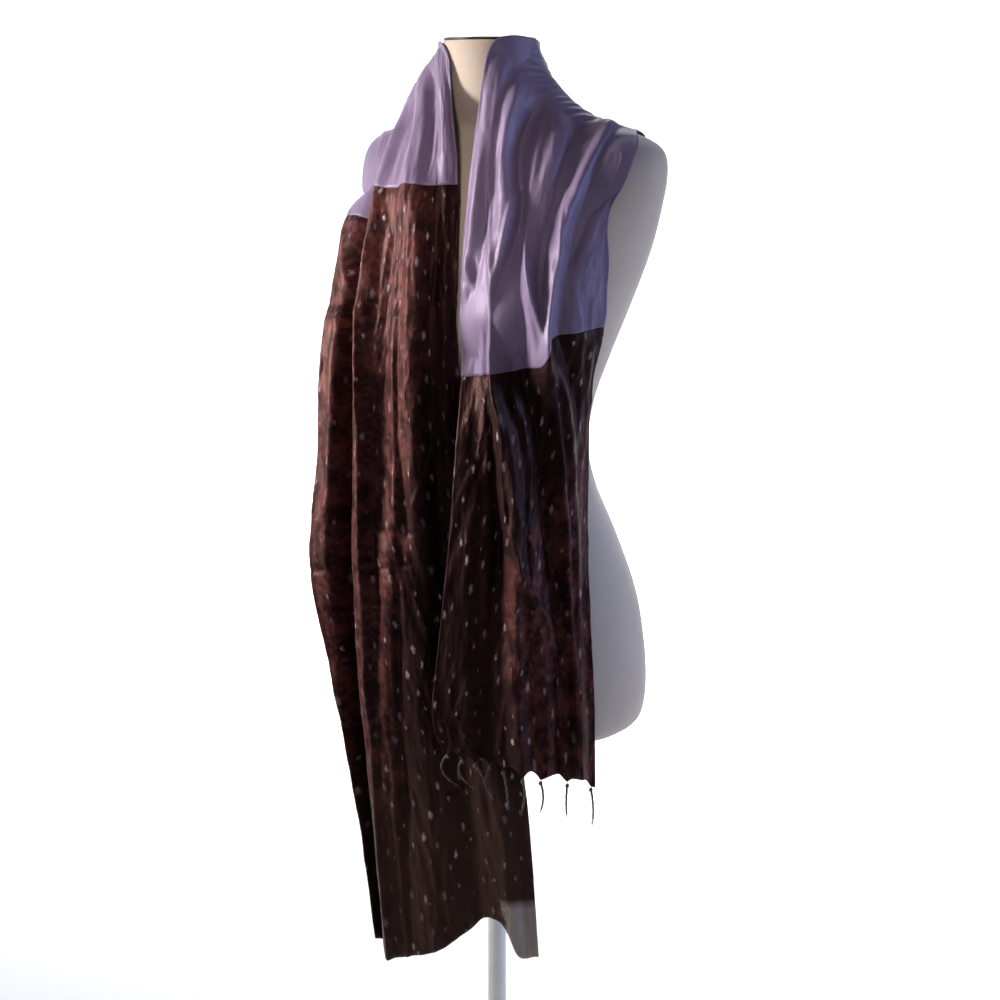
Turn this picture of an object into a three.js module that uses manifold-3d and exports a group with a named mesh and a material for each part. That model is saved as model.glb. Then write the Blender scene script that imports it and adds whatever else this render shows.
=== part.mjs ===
// A long silk scarf hung round the neck of a limbless dress form.
// Millimetres, +Z up. The form faces -Y, its left side is +X, and its pole stands on x = y = 0.
// The origin is the middle of the base's underside.
import * as THREE from "three";
import { mergeVertices } from "three/addons/utils/BufferGeometryUtils.js";
import Module from "manifold-3d";

const wasm = await Module();
wasm.setup();

// Cloth
const CLOTH_WALL = 1.4;
const SEAM_GAP = 0.5;
const CLOTH_CLEARANCE = 2.8; // from the form's skin to the middle of the cloth wall
const CLOTH_COLUMNS = 34; // steps across the scarf
const HANGING_STEP = 36; // length of one step along an end that hangs
const TURNING_STEP = 21; // and along the stretch that turns round the neck
const FOLD_FADE = 0.8; // scarf rows over which a fold runs out
const SLIP_SPREAD = 1.5; // a slip is whole over the middle of its run and dies out towards both ends
const CLEARING_ROUNDS = 20; // the cloth is moved clear of the form in this many small moves
const CLEARING_MOVE = 12; // none of them longer than this

// Fringe
const FRINGE_STRIP = 2.6; // height of the band of knots that holds the tassels
const TASSEL_SIDE = 2.0; // a tassel is a square twist
const TASSEL_STEPS = 4;
const SCALLOP = 7; // how far the hem rises between two tassels
const BESIDE = 0.03; // a tassel swings along the hem, towards the place this far on

// Form and stand
const FORM_SIDES = 40;
const FORM_STEP = 30; // height between two rings
const HIP_LEVEL = 395; // cloth that passes the form's widest ring hangs straight down from it
const NECK_PLATE = 3;
const FACE_GAP = 0.3; // between two pieces that meet face to face
const DRESS_LEVEL = 90; // the heights of form and scarf are counted from this far above the floor
const POLE_RADIUS = 10;
const BASE_RADIUS = 150;
const BASE_HEIGHT = 12;
const BASE_EDGE = 3;
const TURNED_SIDES = 32; // faces round the pole and the base

// The form's rings. half is half the width, front and back are depths from the ring's widest line,
// lean is how far back that line lies, and square is the power of the ring's rounded outline.
const FORM_RINGS = [
  { z: 360, half: 143, front: 94, back: 106, lean: 4, square: 2.2 },
  { z: 368, half: 154, front: 102, back: 114, lean: 4, square: 2.2 },
  { z: 395, half: 160, front: 106, back: 120, lean: 4, square: 2.2 },
  { z: 440, half: 159, front: 105, back: 120, lean: 3, square: 2.2 },
  { z: 500, half: 151, front: 100, back: 112, lean: 0, square: 2.2 },
  { z: 560, half: 132, front: 92, back: 97, lean: -3, square: 2.15 },
  { z: 615, half: 110, front: 84, back: 82, lean: -6, square: 2.1 },
  { z: 655, half: 101, front: 82, back: 78, lean: -6, square: 2.1 },
  { z: 700, half: 107, front: 86, back: 82, lean: -5, square: 2.1 },
  { z: 745, half: 121, front: 92, back: 90, lean: -1, square: 2.15 },
  { z: 800, half: 140, front: 98, back: 96, lean: 8, square: 2.2 },
  { z: 850, half: 156, front: 98, back: 90, lean: 18, square: 2.3 },
  { z: 895, half: 166, front: 90, back: 78, lean: 26, square: 2.4 },
  { z: 930, half: 170, front: 78, back: 64, lean: 32, square: 2.5 },
  { z: 950, half: 166, front: 66, back: 54, lean: 33, square: 2.4 },
  { z: 962, half: 150, front: 56, back: 48, lean: 30, square: 2.1 },
  { z: 972, half: 120, front: 50, back: 46, lean: 24, square: 1.9 },
  { z: 982, half: 86, front: 47, back: 47, lean: 14, square: 1.9 },
  { z: 994, half: 61, front: 47, back: 50, lean: 3, square: 2.0 },
  { z: 1010, half: 50, front: 47, back: 49, lean: -6, square: 2.0 },
  { z: 1035, half: 46, front: 45, back: 46, lean: -11, square: 2.0 },
  { z: 1055, half: 46, front: 45, back: 45, lean: -13, square: 2.0 },
];
const BUST = { x: 70, z: 795, wide: 44, above: 72, below: 46, out: 30 };

// The scarf's rows, from the long end's hem over the form's right shoulder, behind the neck and
// down to the short end's hem. inner is the edge next to the neck, middle and outer follow it.
const SCARF_ROWS = [
  { at: "long hem", inner: [103, -84, 139], middle: [19, -118, 134], outer: [-66, -143, 120] },
  { at: "shin", inner: [92, -90, 307], middle: [3, -125, 301], outer: [-84, -147, 291] },
  { at: "under the form", inner: [72, -98, 447], middle: [-17, -133, 442], outer: [-110, -149, 432] },
  { at: "hip", inner: [49, -98, 551], middle: [-33, -137, 547], outer: [-131, -150, 537] },
  { at: "waist", inner: [31, -99, 650], middle: [-41, -137, 647], outer: [-128, -139, 639] },
  { at: "under the bust", inner: [18, -99, 739], middle: [-44, -133, 736], outer: [-129, -130, 730] },
  { at: "bust", inner: [14, -95, 821], middle: [-44, -122, 815], outer: [-133, -109, 805] },
  { at: "long seam", inner: [4, -78, 917], middle: [-48, -96, 914], outer: [-142, -61, 908] },
  { at: "right collarbone", inner: [-9, -65, 974], middle: [-58, -60, 980], outer: [-139, -12, 935] },
  { at: "right neck, front", inner: [-25, -51, 1046], middle: [-77, -22, 1023], outer: [-145, 26, 960] },
  { at: "right neck, side", inner: [-60, -14, 1054], middle: [-80, 14, 1012], outer: [-148, 54, 945] },
  { at: "right neck, back", inner: [-38, 26, 1048], middle: [-58, 54, 990], outer: [-100, 92, 905] },
  { at: "nape", inner: [0, 37, 1043], middle: [0, 64, 982], outer: [0, 102, 870] },
  { at: "left neck, back", inner: [34, 20, 1046], middle: [55, 44, 991], outer: [104, 90, 915] },
  { at: "left neck, side", inner: [49, -9, 1056], middle: [74, 12, 1002], outer: [138, 36, 966] },
  { at: "left neck, front", inner: [26, -50, 1052], middle: [80, -19, 984], outer: [155, 6, 952] },
  { at: "left collarbone", inner: [21, -69, 979], middle: [90, -50, 933], outer: [154, -17, 918] },
  { at: "left chest", inner: [23, -87, 908], middle: [94, -76, 881], outer: [146, -32, 887] },
  { at: "left bust", inner: [22, -97, 826], middle: [99, -94, 820], outer: [144, -28, 821] },
  { at: "short seam", inner: [24, -105, 733], middle: [97, -95, 745], outer: [140, -26, 757] },
  { at: "left waist", inner: [30, -124, 664], middle: [101, -92, 676], outer: [126, -25, 690] },
  { at: "left hip", inner: [28, -133, 576], middle: [97, -95, 587], outer: [125, -30, 603] },
  { at: "below the hip", inner: [19, -139, 475], middle: [94, -100, 487], outer: [140, -50, 502] },
  { at: "form's rim", inner: [14, -144, 398], middle: [93, -104, 404], outer: [147, -52, 411] },
  { at: "short hem", inner: [24, -140, 360], middle: [95, -105, 338], outer: [149, -52, 320] },
];
const LONG_HEM = 0;
const LONG_SEAM = 7;
const RIGHT_SHOULDER = 9.4;
const LEFT_SHOULDER = 14.4;
const SHORT_SEAM = 19;
const SHORT_HEM = SCARF_ROWS.length - 1;

// Folds run along the scarf. path gives [row, place across], with 0 the inner edge and 1 the outer.
// wide is the fold's half width, high its height, negative for a trough.
const FOLDS = [
  { wide: 10, high: 8, path: [[0, 0.9], [1, 0.86], [2, 0.79], [3, 0.71], [5, 0.71], [7, 0.72],
    [8.2, 0.68]] },
  { wide: 10, high: -17, path: [[0, 0.97], [1, 0.94], [2, 0.88], [3, 0.81], [5, 0.8], [7, 0.81],
    [7.8, 0.8]] },
  { wide: 10, high: 7, path: [[0.8, 0.77], [1.5, 0.7], [2.3, 0.6], [3, 0.53], [3.8, 0.47]] },
  { wide: 12, high: 6, path: [[3, 0.33], [4.5, 0.34], [6, 0.36], [7.2, 0.42]] },
  { wide: 11, high: -7, path: [[2.2, 0.28], [3.5, 0.22], [6.6, 0.2]] },
  { wide: 11, high: -7, path: [[3.4, 0.56], [5, 0.54], [6.7, 0.56]] },
  { wide: 22, high: 6, path: [[0, 0.58], [1.2, 0.54], [2.6, 0.4]] },
  { wide: 13, high: -7, path: [[0, 0.33], [1, 0.33], [2.4, 0.3]] },
  { wide: 11, high: 6, path: [[0, 0.13], [1, 0.14], [2.2, 0.14]] },
  { wide: 9, high: 5, path: [[7.2, 0.12], [8.7, 0.14]] },
  { wide: 9, high: -6, path: [[7.2, 0.3], [8.7, 0.29]] },
  { wide: 10, high: 6, path: [[6.8, 0.46], [8, 0.43], [8.7, 0.42]] },
  { wide: 9, high: -5, path: [[7.2, 0.58], [8.5, 0.57]] },
  { wide: 9, high: 3, path: [[7.2, 0.9], [8.4, 0.88]] },
  { wide: 9, high: 7, path: [[10.9, 0.15], [12, 0.17], [13.2, 0.16]] },
  { wide: 9, high: -9, path: [[10.9, 0.31], [12, 0.32], [13.2, 0.31]] },
  { wide: 9, high: 9, path: [[10.9, 0.44], [12, 0.46], [13.2, 0.45]] },
  { wide: 10, high: -9, path: [[10.9, 0.58], [12, 0.59], [13.2, 0.58]] },
  { wide: 10, high: 7, path: [[10.9, 0.72], [12, 0.72], [13.2, 0.72]] },
  { wide: 10, high: -5, path: [[11, 0.85], [12, 0.86], [13.2, 0.85]] },
  { wide: 9, high: -15, path: [[15.1, 0.39], [16, 0.3], [17, 0.38], [18, 0.34], [19, 0.33]] },
  { wide: 10, high: 10, path: [[15.1, 0.235], [16, 0.19], [17, 0.26], [18, 0.22], [19, 0.21],
    [20, 0.31], [21, 0.41], [22, 0.45], [24, 0.5]] },
  { wide: 7, high: 5, path: [[15, 0.1], [16, 0.09], [17, 0.06], [18.4, 0.04]] },
  { wide: 9, high: 7, path: [[15.1, 0.545], [15.6, 0.52], [16.4, 0.48]] },
  { wide: 8, high: -8, path: [[15.1, 0.66], [15.6, 0.63], [16.4, 0.6]] },
  { wide: 8, high: 6, path: [[16.8, 0.4], [17.5, 0.43], [18, 0.47], [18.8, 0.54]] },
  { wide: 7, high: -7, path: [[16.4, 0.6], [17.4, 0.57], [18, 0.54]] },
  { wide: 9, high: 9, path: [[14.3, 0.84], [15.2, 0.79], [16, 0.72], [17, 0.68], [18.4, 0.61],
    [19, 0.6], [20, 0.72], [21, 0.82], [22, 0.87], [24, 0.9]] },
  { wide: 9, high: -8, path: [[15.4, 0.88], [17, 0.8], [18.4, 0.72], [19, 0.72], [20, 0.84]] },
  { wide: 10, high: -12, path: [[18.4, 0.42], [19, 0.45], [20, 0.54], [21, 0.64], [22, 0.76],
    [23, 0.79], [24, 0.8]] },
  { wide: 13, high: -7, path: [[18.4, 0.08], [20, 0.16], [21, 0.24], [22, 0.28], [24, 0.28]] },
  { wide: 10, high: 6, path: [[21.4, 0.53], [22, 0.6], [23, 0.66], [24, 0.68]] },
];

// Where one pleat has slid along its neighbour, what lies outside place is drop lower.
const SLIPS = [
  { from: 5.4, to: 9, place: 0.755, wide: 0.07, drop: 26 },
  { from: 17, to: 21.5, place: 0.6, wide: 0.07, drop: -25 },
];

// The long hem, where it hangs higher than its row: [place across, lift].
const LONG_HEM_LIFTS = [
  [0, 0], [0.11, 1], [0.16, 26], [0.2, 36], [0.265, 40], [0.31, 37], [0.36, 29], [0.45, 19],
  [0.54, 9], [0.635, 3], [0.76, 0], [0.9, 0], [0.96, 5], [1, 14],
];

// place is across the scarf, fall is how low the tip hangs, swing carries the tip outwards along
// the hem and curl bows the strand sideways on its way.
const TASSELS = [
  { place: 0.03, fall: 33, swing: 10, curl: -9 },
  { place: 0.12, fall: 30, swing: 12, curl: -6 },
  { place: 0.2, fall: 32, swing: 14, curl: 5 },
  { place: 0.29, fall: 36, swing: 4, curl: -5 },
  { place: 0.38, fall: 40, swing: 5, curl: 2 },
  { place: 0.5, fall: 38, swing: -3, curl: 3 },
  { place: 0.62, fall: 36, swing: -1, curl: 3 },
  { place: 0.82, fall: 39, swing: 0, curl: -1 },
  { place: 0.97, fall: 41, swing: 2, curl: 2 },
];

// Helpers
const smoothstep = (x) => {
  const u = THREE.MathUtils.clamp(x, 0, 1);
  return u * u * (3 - 2 * u);
};

// A smooth curve through equally spaced values, at place t counted in values. It runs on straight
// past both ends.
function throughValues(values, t) {
  const last = values.length - 1;
  const i = THREE.MathUtils.clamp(Math.floor(t), 0, last - 1);
  const u = t - i;
  const before = values[Math.max(i - 1, 0)];
  const a = values[i];
  const b = values[i + 1];
  const after = values[Math.min(i + 2, last)];
  const slopeA = i > 0 ? (b - before) / 2 : b - a;
  const slopeB = i + 2 <= last ? (after - a) / 2 : b - a;
  if (u < 0) return a + slopeA * u;
  if (u > 1) return b + slopeB * (u - 1);
  const rise = u * u * (3 - 2 * u);
  return a + (b - a) * rise + slopeA * u * (1 - u) ** 2 - slopeB * u * u * (1 - u);
}

// A smooth curve through [x, y] pairs, level beyond both ends.
function throughPairs(pairs, x) {
  const last = pairs.length - 1;
  if (x <= pairs[0][0]) return pairs[0][1];
  if (x >= pairs[last][0]) return pairs[last][1];
  const i = pairs.findIndex((pair) => pair[0] > x) - 1;
  const slope = (k) => {
    const low = pairs[Math.max(k - 1, 0)];
    const high = pairs[Math.min(k + 1, last)];
    return (high[1] - low[1]) / (high[0] - low[0]);
  };
  const [x0, y0] = pairs[i];
  const [x1, y1] = pairs[i + 1];
  const length = x1 - x0;
  const u = (x - x0) / length;
  const start = y0 + slope(i) * length * u * (1 - u) ** 2;
  return start + (y1 - y0) * u * u * (3 - 2 * u) - slope(i + 1) * length * u * u * (1 - u);
}

// Form
const RING_SIZES = ["half", "front", "back", "lean", "square"];
const RING_CURVES = Object.fromEntries(
  RING_SIZES.map((name) => [name, FORM_RINGS.map((ring) => [ring.z, ring[name]])]),
);

function ringAt(z) {
  const value = (name) => throughPairs(RING_CURVES[name], z);
  return {
    half: value("half"),
    front: value("front"),
    back: value("back"),
    lean: value("lean"),
    square: value("square"),
  };
}

function bustOut(x, z) {
  const up = (z - BUST.z) / (z > BUST.z ? BUST.above : BUST.below);
  const across = (side) => Math.exp(-(((x - side * BUST.x) / BUST.wide) ** 2));
  return BUST.out * Math.exp(-up * up) * (across(1) + across(-1));
}

// 1 on the form's skin, less inside it and more outside.
function formLevel(point) {
  const ring = ringAt(Math.max(point.z, HIP_LEVEL));
  let depth = point.y - ring.lean;
  if (depth < 0) depth = Math.min(depth + bustOut(point.x, point.z), 0);
  const reach = depth < 0 ? ring.front : ring.back;
  const sum = Math.abs(point.x / ring.half) ** ring.square + Math.abs(depth / reach) ** ring.square;
  return sum ** (1 / ring.square);
}

function formSlope(point) {
  const step = 0.5;
  const along = (axis) => {
    const ahead = formLevel(point.clone().addScaledVector(axis, step));
    const behind = formLevel(point.clone().addScaledVector(axis, -step));
    return (ahead - behind) / (2 * step);
  };
  return new THREE.Vector3(
    along(new THREE.Vector3(1, 0, 0)),
    along(new THREE.Vector3(0, 1, 0)),
    along(new THREE.Vector3(0, 0, 1)),
  );
}

// Moves a point of the cloth out until it is clear of the form.
function clearOfForm(point) {
  for (let round = 0; round < CLEARING_ROUNDS; round++) {
    const slope = formSlope(point);
    const steepness = Math.max(slope.length(), 1e-6);
    const distance = (formLevel(point) - 1) / steepness;
    if (distance >= CLOTH_CLEARANCE) return point;
    point.addScaledVector(slope, Math.min(CLOTH_CLEARANCE - distance, CLEARING_MOVE) / steepness);
  }
  return point;
}

function formRing(z) {
  const ring = ringAt(z);
  const points = [];
  for (let i = 0; i < FORM_SIDES; i++) {
    const angle = (2 * Math.PI * i) / FORM_SIDES;
    const curve = (value) => Math.sign(value) * Math.abs(value) ** (2 / ring.square);
    const x = ring.half * curve(Math.cos(angle));
    const y = (Math.sin(angle) < 0 ? ring.front : ring.back) * curve(Math.sin(angle));
    const bust = bustOut(x, z) * Math.sqrt(Math.max(-Math.sin(angle), 0));
    points.push(new THREE.Vector3(x, y + ring.lean - bust, z));
  }
  return points;
}

// A closed solid through rings of points, each turning anticlockwise seen from above.
function solidThroughRings(rings) {
  const sides = rings[0].length;
  const points = rings.flat();
  const faces = [];
  for (let j = 0; j + 1 < rings.length; j++) {
    for (let i = 0; i < sides; i++) {
      const a = j * sides + i;
      const b = j * sides + ((i + 1) % sides);
      faces.push([a, b, b + sides], [a, b + sides, a + sides]);
    }
  }
  const lowest = points.length;
  const highest = lowest + 1;
  const middle = (ring) => ring.reduce((sum, p) => sum.add(p), new THREE.Vector3()).divideScalar(sides);
  points.push(middle(rings[0]), middle(rings.at(-1)));
  const top = (rings.length - 1) * sides;
  for (let i = 0; i < sides; i++) {
    const next = (i + 1) % sides;
    faces.push([lowest, next, i], [highest, top + i, top + next]);
  }
  return geometryOf(points, faces);
}

function geometryOf(points, faces) {
  const geometry = new THREE.BufferGeometry().setFromPoints(points);
  geometry.setIndex(faces.flat());
  geometry.computeVertexNormals();
  return geometry;
}

function formHeights() {
  const heights = [];
  FORM_RINGS.slice(0, -1).forEach((ring, i) => {
    const rise = FORM_RINGS[i + 1].z - ring.z;
    const steps = Math.max(1, Math.round(rise / FORM_STEP));
    for (let k = 0; k < steps; k++) heights.push(ring.z + (rise * k) / steps);
  });
  return [...heights, FORM_RINGS.at(-1).z];
}

const makeForm = () => solidThroughRings(formHeights().map(formRing));

function makeNeckPlate() {
  const top = FORM_RINGS.at(-1).z;
  const rings = [FACE_GAP, NECK_PLATE].map((rise) => {
    return formRing(top).map((point) => point.setZ(top + rise));
  });
  return solidThroughRings(rings);
}

// Stand
function makeTurned(profile) {
  const points = profile.map(([radius, z]) => new THREE.Vector2(radius, z));
  return new THREE.LatheGeometry(points, TURNED_SIDES).rotateX(Math.PI / 2);
}

function makePole() {
  const foot = BASE_HEIGHT + FACE_GAP;
  const head = DRESS_LEVEL + FORM_RINGS[0].z - FACE_GAP;
  return makeTurned([[0, foot], [POLE_RADIUS, foot], [POLE_RADIUS, head], [0, head]]);
}

function makeBase() {
  const edge = BASE_HEIGHT - BASE_EDGE;
  const rim = BASE_RADIUS - BASE_EDGE;
  return makeTurned([[0, 0], [BASE_RADIUS, 0], [BASE_RADIUS, edge], [rim, BASE_HEIGHT], [0, BASE_HEIGHT]]);
}

// Scarf
// The plain surface that the folds lie on: a parabola across through the row's three points.
function plainScarf(place, row) {
  const shares = {
    inner: (1 - place) * (1 - 2 * place),
    middle: 4 * place * (1 - place),
    outer: place * (2 * place - 1),
  };
  const point = new THREE.Vector3();
  for (const [edge, share] of Object.entries(shares)) {
    [0, 1, 2].forEach((axis) => {
      const along = throughValues(SCARF_ROWS.map((r) => r[edge][axis]), row);
      point.setComponent(axis, point.getComponent(axis) + share * along);
    });
  }
  return point;
}

function plainNormal(place, row) {
  const step = 0.01;
  const across = plainScarf(place + step, row).sub(plainScarf(place - step, row));
  const along = plainScarf(place, row + step).sub(plainScarf(place, row - step));
  return along.cross(across).normalize();
}

function plainWidth(row) {
  const [inner, middle, outer] = [0, 0.5, 1].map((place) => plainScarf(place, row));
  return inner.distanceTo(middle) + middle.distanceTo(outer);
}

// 1 along a fold and 0 beyond it. A fold that reaches a hem doesn't fade there.
function foldStrength(fold, row) {
  const [start] = fold.path[0];
  const [end] = fold.path.at(-1);
  const rising = start === LONG_HEM ? 1 : smoothstep((row - start) / FOLD_FADE + 0.5);
  const falling = end === SHORT_HEM ? 1 : smoothstep((end - row) / FOLD_FADE + 0.5);
  return rising * falling;
}

function foldHeight(place, row, width) {
  return FOLDS.reduce((sum, fold) => {
    const strength = foldStrength(fold, row);
    if (strength === 0) return sum;
    const away = ((place - throughPairs(fold.path, row)) * width) / fold.wide;
    return sum + fold.high * strength * Math.exp(-away * away);
  }, 0);
}

function slipDrop(place, row) {
  return SLIPS.reduce((sum, slip) => {
    const middle = (slip.from + slip.to) / 2;
    const strength = smoothstep((1 - Math.abs(row - middle) / (slip.to - middle)) * SLIP_SPREAD);
    return sum + slip.drop * strength * smoothstep((place - slip.place) / slip.wide + 0.5);
  }, 0);
}

function scarfPoint(place, row) {
  const point = plainScarf(place, row);
  const height = foldHeight(place, row, plainWidth(row));
  point.addScaledVector(plainNormal(place, row), height);
  point.z -= slipDrop(place, row);
  return clearOfForm(point);
}

function scarfNormal(place, row) {
  const side = 0.01;
  const ahead = 0.03;
  const across = scarfPoint(Math.min(place + side, 1), row).sub(scarfPoint(Math.max(place - side, 0), row));
  const along = scarfPoint(place, row + ahead).sub(scarfPoint(place, row - ahead));
  return along.cross(across).normalize();
}

// How many rows one millimetre of cloth is, square to the line that the row draws across it.
function rowsPerMillimetre(place, row) {
  const side = 0.005;
  const ahead = 0.01;
  const across = scarfPoint(place + side, row).sub(scarfPoint(place - side, row));
  const along = scarfPoint(place, row + ahead).sub(scarfPoint(place, row - ahead));
  return (2 * ahead * across.length()) / along.cross(across).length();
}

// The places of the columns, uniform but for the ones moved onto a tassel's root.
function columnPlaces() {
  const places = Array.from({ length: CLOTH_COLUMNS + 1 }, (_, i) => i / CLOTH_COLUMNS);
  for (const tassel of TASSELS) {
    const nearest = Math.round(tassel.place * CLOTH_COLUMNS);
    if (nearest > 0 && nearest < CLOTH_COLUMNS) places[nearest] = tassel.place;
  }
  return places;
}

// A closed wall of cloth between two rows, which may differ from column to column.
function clothWall(fromRow, toRow, steps) {
  const places = columnPlaces();
  const columns = places.length;
  const rowAt = (place, j) => THREE.MathUtils.lerp(fromRow(place), toRow(place), j / steps);
  const outside = [];
  const inside = [];
  for (let j = 0; j <= steps; j++) {
    for (const place of places) {
      const middle = scarfPoint(place, rowAt(place, j));
      const normal = scarfNormal(place, rowAt(place, j));
      outside.push(middle.clone().addScaledVector(normal, CLOTH_WALL / 2));
      inside.push(middle.addScaledVector(normal, -CLOTH_WALL / 2));
    }
  }
  const points = [...outside, ...inside];
  const offset = outside.length;
  const faces = [];
  const quad = (a, b, c, d) => faces.push([a, b, c], [a, c, d]);

  // Each four-sided patch is cut along the diagonal that lies nearer to the true surface.
  for (let j = 0; j < steps; j++) {
    for (let i = 0; i + 1 < columns; i++) {
      const a = j * columns + i;
      const b = a + columns;
      const centrePlace = (places[i] + places[i + 1]) / 2;
      const centre = scarfPoint(centrePlace, rowAt(centrePlace, j + 0.5));
      const miss = (p, q) => {
        const ends = [p, q, p + offset, q + offset];
        const sum = ends.reduce((total, k) => total.add(points[k]), new THREE.Vector3());
        return sum.divideScalar(ends.length).distanceTo(centre);
      };
      if (miss(a, b + 1) <= miss(b, a + 1)) {
        quad(a, b, b + 1, a + 1);
        quad(a + offset, a + 1 + offset, b + 1 + offset, b + offset);
      } else {
        quad(b, b + 1, a + 1, a);
        quad(a + 1 + offset, b + 1 + offset, b + offset, a + offset);
      }
    }
  }
  for (let i = 0; i + 1 < columns; i++) {
    const far = steps * columns + i;
    quad(i, i + 1, i + 1 + offset, i + offset);
    quad(far + 1, far, far + offset, far + 1 + offset);
  }
  for (let j = 0; j < steps; j++) {
    const near = j * columns;
    const far = near + columns - 1;
    quad(near + columns, near, near + offset, near + columns + offset);
    quad(far, far + columns, far + columns + offset, far + offset);
  }
  return geometryOf(points, faces);
}

// Enough steps that none is longer than the given length on the scarf's longest line.
function stepsBetween(fromRow, toRow, longest) {
  const step = 0.1;
  const lengths = [0, 0.5, 1].map((place) => {
    let length = 0;
    for (let row = fromRow; row < toRow; row += step) {
      length += plainScarf(place, row).distanceTo(plainScarf(place, row + step));
    }
    return length;
  });
  return Math.ceil(Math.max(...lengths) / longest);
}

// A stretch's first and last line stand half of the seam's gap back from the seam.
const afterSeam = (seam) => (place) => seam + (SEAM_GAP / 2) * rowsPerMillimetre(place, seam);
const beforeSeam = (seam) => (place) => seam - (SEAM_GAP / 2) * rowsPerMillimetre(place, seam);

function makeLilac(fromRow, toRow) {
  return clothWall(afterSeam(fromRow), beforeSeam(toRow), stepsBetween(fromRow, toRow, TURNING_STEP));
}

function makeLongEnd() {
  const hem = (place) => {
    return LONG_HEM + throughPairs(LONG_HEM_LIFTS, place) * rowsPerMillimetre(0.5, LONG_HEM + 0.5);
  };
  return clothWall(hem, beforeSeam(LONG_SEAM), stepsBetween(LONG_HEM, LONG_SEAM, HANGING_STEP));
}

// The short hem hangs lowest where a tassel pulls it, and rises in an arch between two.
function shortHemRow(place) {
  const roots = TASSELS.map((tassel) => tassel.place);
  const next = roots.findIndex((root) => root >= place);
  if (next <= 0) return SHORT_HEM;
  const share = (place - roots[next - 1]) / (roots[next] - roots[next - 1]);
  const rise = SCALLOP * Math.sin(Math.PI * share);
  return SHORT_HEM - rise * rowsPerMillimetre(0.5, SHORT_HEM - 0.2);
}

function makeShortEnd() {
  return clothWall(afterSeam(SHORT_SEAM), shortHemRow, stepsBetween(SHORT_SEAM, SHORT_HEM, HANGING_STEP));
}

// Fringe
function solidOf(geometry) {
  const bare = geometry.clone();
  bare.deleteAttribute("normal");
  bare.deleteAttribute("uv");
  const merged = mergeVertices(bare, 1e-4);
  return new wasm.Manifold(
    new wasm.Mesh({
      numProp: 3,
      vertProperties: merged.attributes.position.array,
      triVerts: new Uint32Array(merged.index.array),
    }),
  );
}

function geometryOfSolid(solid) {
  const mesh = solid.getMesh();
  const geometry = new THREE.BufferGeometry();
  geometry.setAttribute("position", new THREE.BufferAttribute(mesh.vertProperties, 3));
  geometry.setIndex(new THREE.BufferAttribute(mesh.triVerts, 1));
  geometry.computeVertexNormals();
  return geometry;
}

function belowShortHem(place, distance) {
  const hem = shortHemRow(place);
  return hem + distance * rowsPerMillimetre(place, hem);
}

function makeTassel(tassel) {
  const row = belowShortHem(tassel.place, SEAM_GAP + FRINGE_STRIP / 2);
  const root = scarfPoint(tassel.place, row);
  const outwards = scarfPoint(tassel.place + BESIDE, row).sub(root).setZ(0).normalize();
  const points = [];
  for (let i = 0; i <= TASSEL_STEPS; i++) {
    const share = i / TASSEL_STEPS;
    const sideways = tassel.swing * share * share + tassel.curl * Math.sin(Math.PI * share);
    const point = root.clone().addScaledVector(outwards, sideways);
    points.push(point.setZ(root.z - tassel.fall * share));
  }
  const half = TASSEL_SIDE / 2;
  const section = new THREE.Shape([
    new THREE.Vector2(half, half),
    new THREE.Vector2(-half, half),
    new THREE.Vector2(-half, -half),
    new THREE.Vector2(half, -half),
  ]);
  const extrudePath = new THREE.CatmullRomCurve3(points);
  return new THREE.ExtrudeGeometry(section, { steps: TASSEL_STEPS, extrudePath, bevelEnabled: false });
}

function makeFringe() {
  const top = (place) => belowShortHem(place, SEAM_GAP);
  const bottom = (place) => belowShortHem(place, SEAM_GAP + FRINGE_STRIP);
  const strip = solidOf(clothWall(top, bottom, 1));
  const strands = TASSELS.map((tassel) => solidOf(makeTassel(tassel)));
  return geometryOfSolid(strands.reduce((whole, strand) => whole.add(strand), strip));
}

// Finishes
const linen = () => new THREE.MeshStandardMaterial({ color: 0xe6ddd0, roughness: 0.85, metalness: 0 });
const darkPlate = () => new THREE.MeshStandardMaterial({ color: 0x3a3434, roughness: 0.6, metalness: 0 });
const whitePaint = () => new THREE.MeshStandardMaterial({ color: 0xe9e8e6, roughness: 0.45, metalness: 0 });
const lilacSatin = () => new THREE.MeshStandardMaterial({ color: 0x8f7fa3, roughness: 0.4, metalness: 0 });
const brownSilk = () => new THREE.MeshStandardMaterial({ color: 0x3b2325, roughness: 0.45, metalness: 0 });

const scarfOnForm = new THREE.Group();
const dressed = new THREE.Group();
dressed.position.z = DRESS_LEVEL;
scarfOnForm.add(dressed);

function add(group, name, geometry, material) {
  const mesh = new THREE.Mesh(geometry, material);
  mesh.name = name;
  group.add(mesh);
}

add(scarfOnForm, "stand_base", makeBase(), whitePaint());
add(scarfOnForm, "stand_pole", makePole(), whitePaint());
add(dressed, "form_torso", makeForm(), linen());
add(dressed, "form_neck_plate", makeNeckPlate(), darkPlate());
add(dressed, "scarf_end_long", makeLongEnd(), brownSilk());
add(dressed, "scarf_lilac_right", makeLilac(LONG_SEAM, RIGHT_SHOULDER), lilacSatin());
add(dressed, "scarf_lilac_nape", makeLilac(RIGHT_SHOULDER, LEFT_SHOULDER), lilacSatin());
add(dressed, "scarf_lilac_left", makeLilac(LEFT_SHOULDER, SHORT_SEAM), lilacSatin());
add(dressed, "scarf_end_short", makeShortEnd(), brownSilk());
add(dressed, "scarf_fringe", makeFringe(), brownSilk());

export default scarfOnForm;
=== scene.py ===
import math

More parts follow.
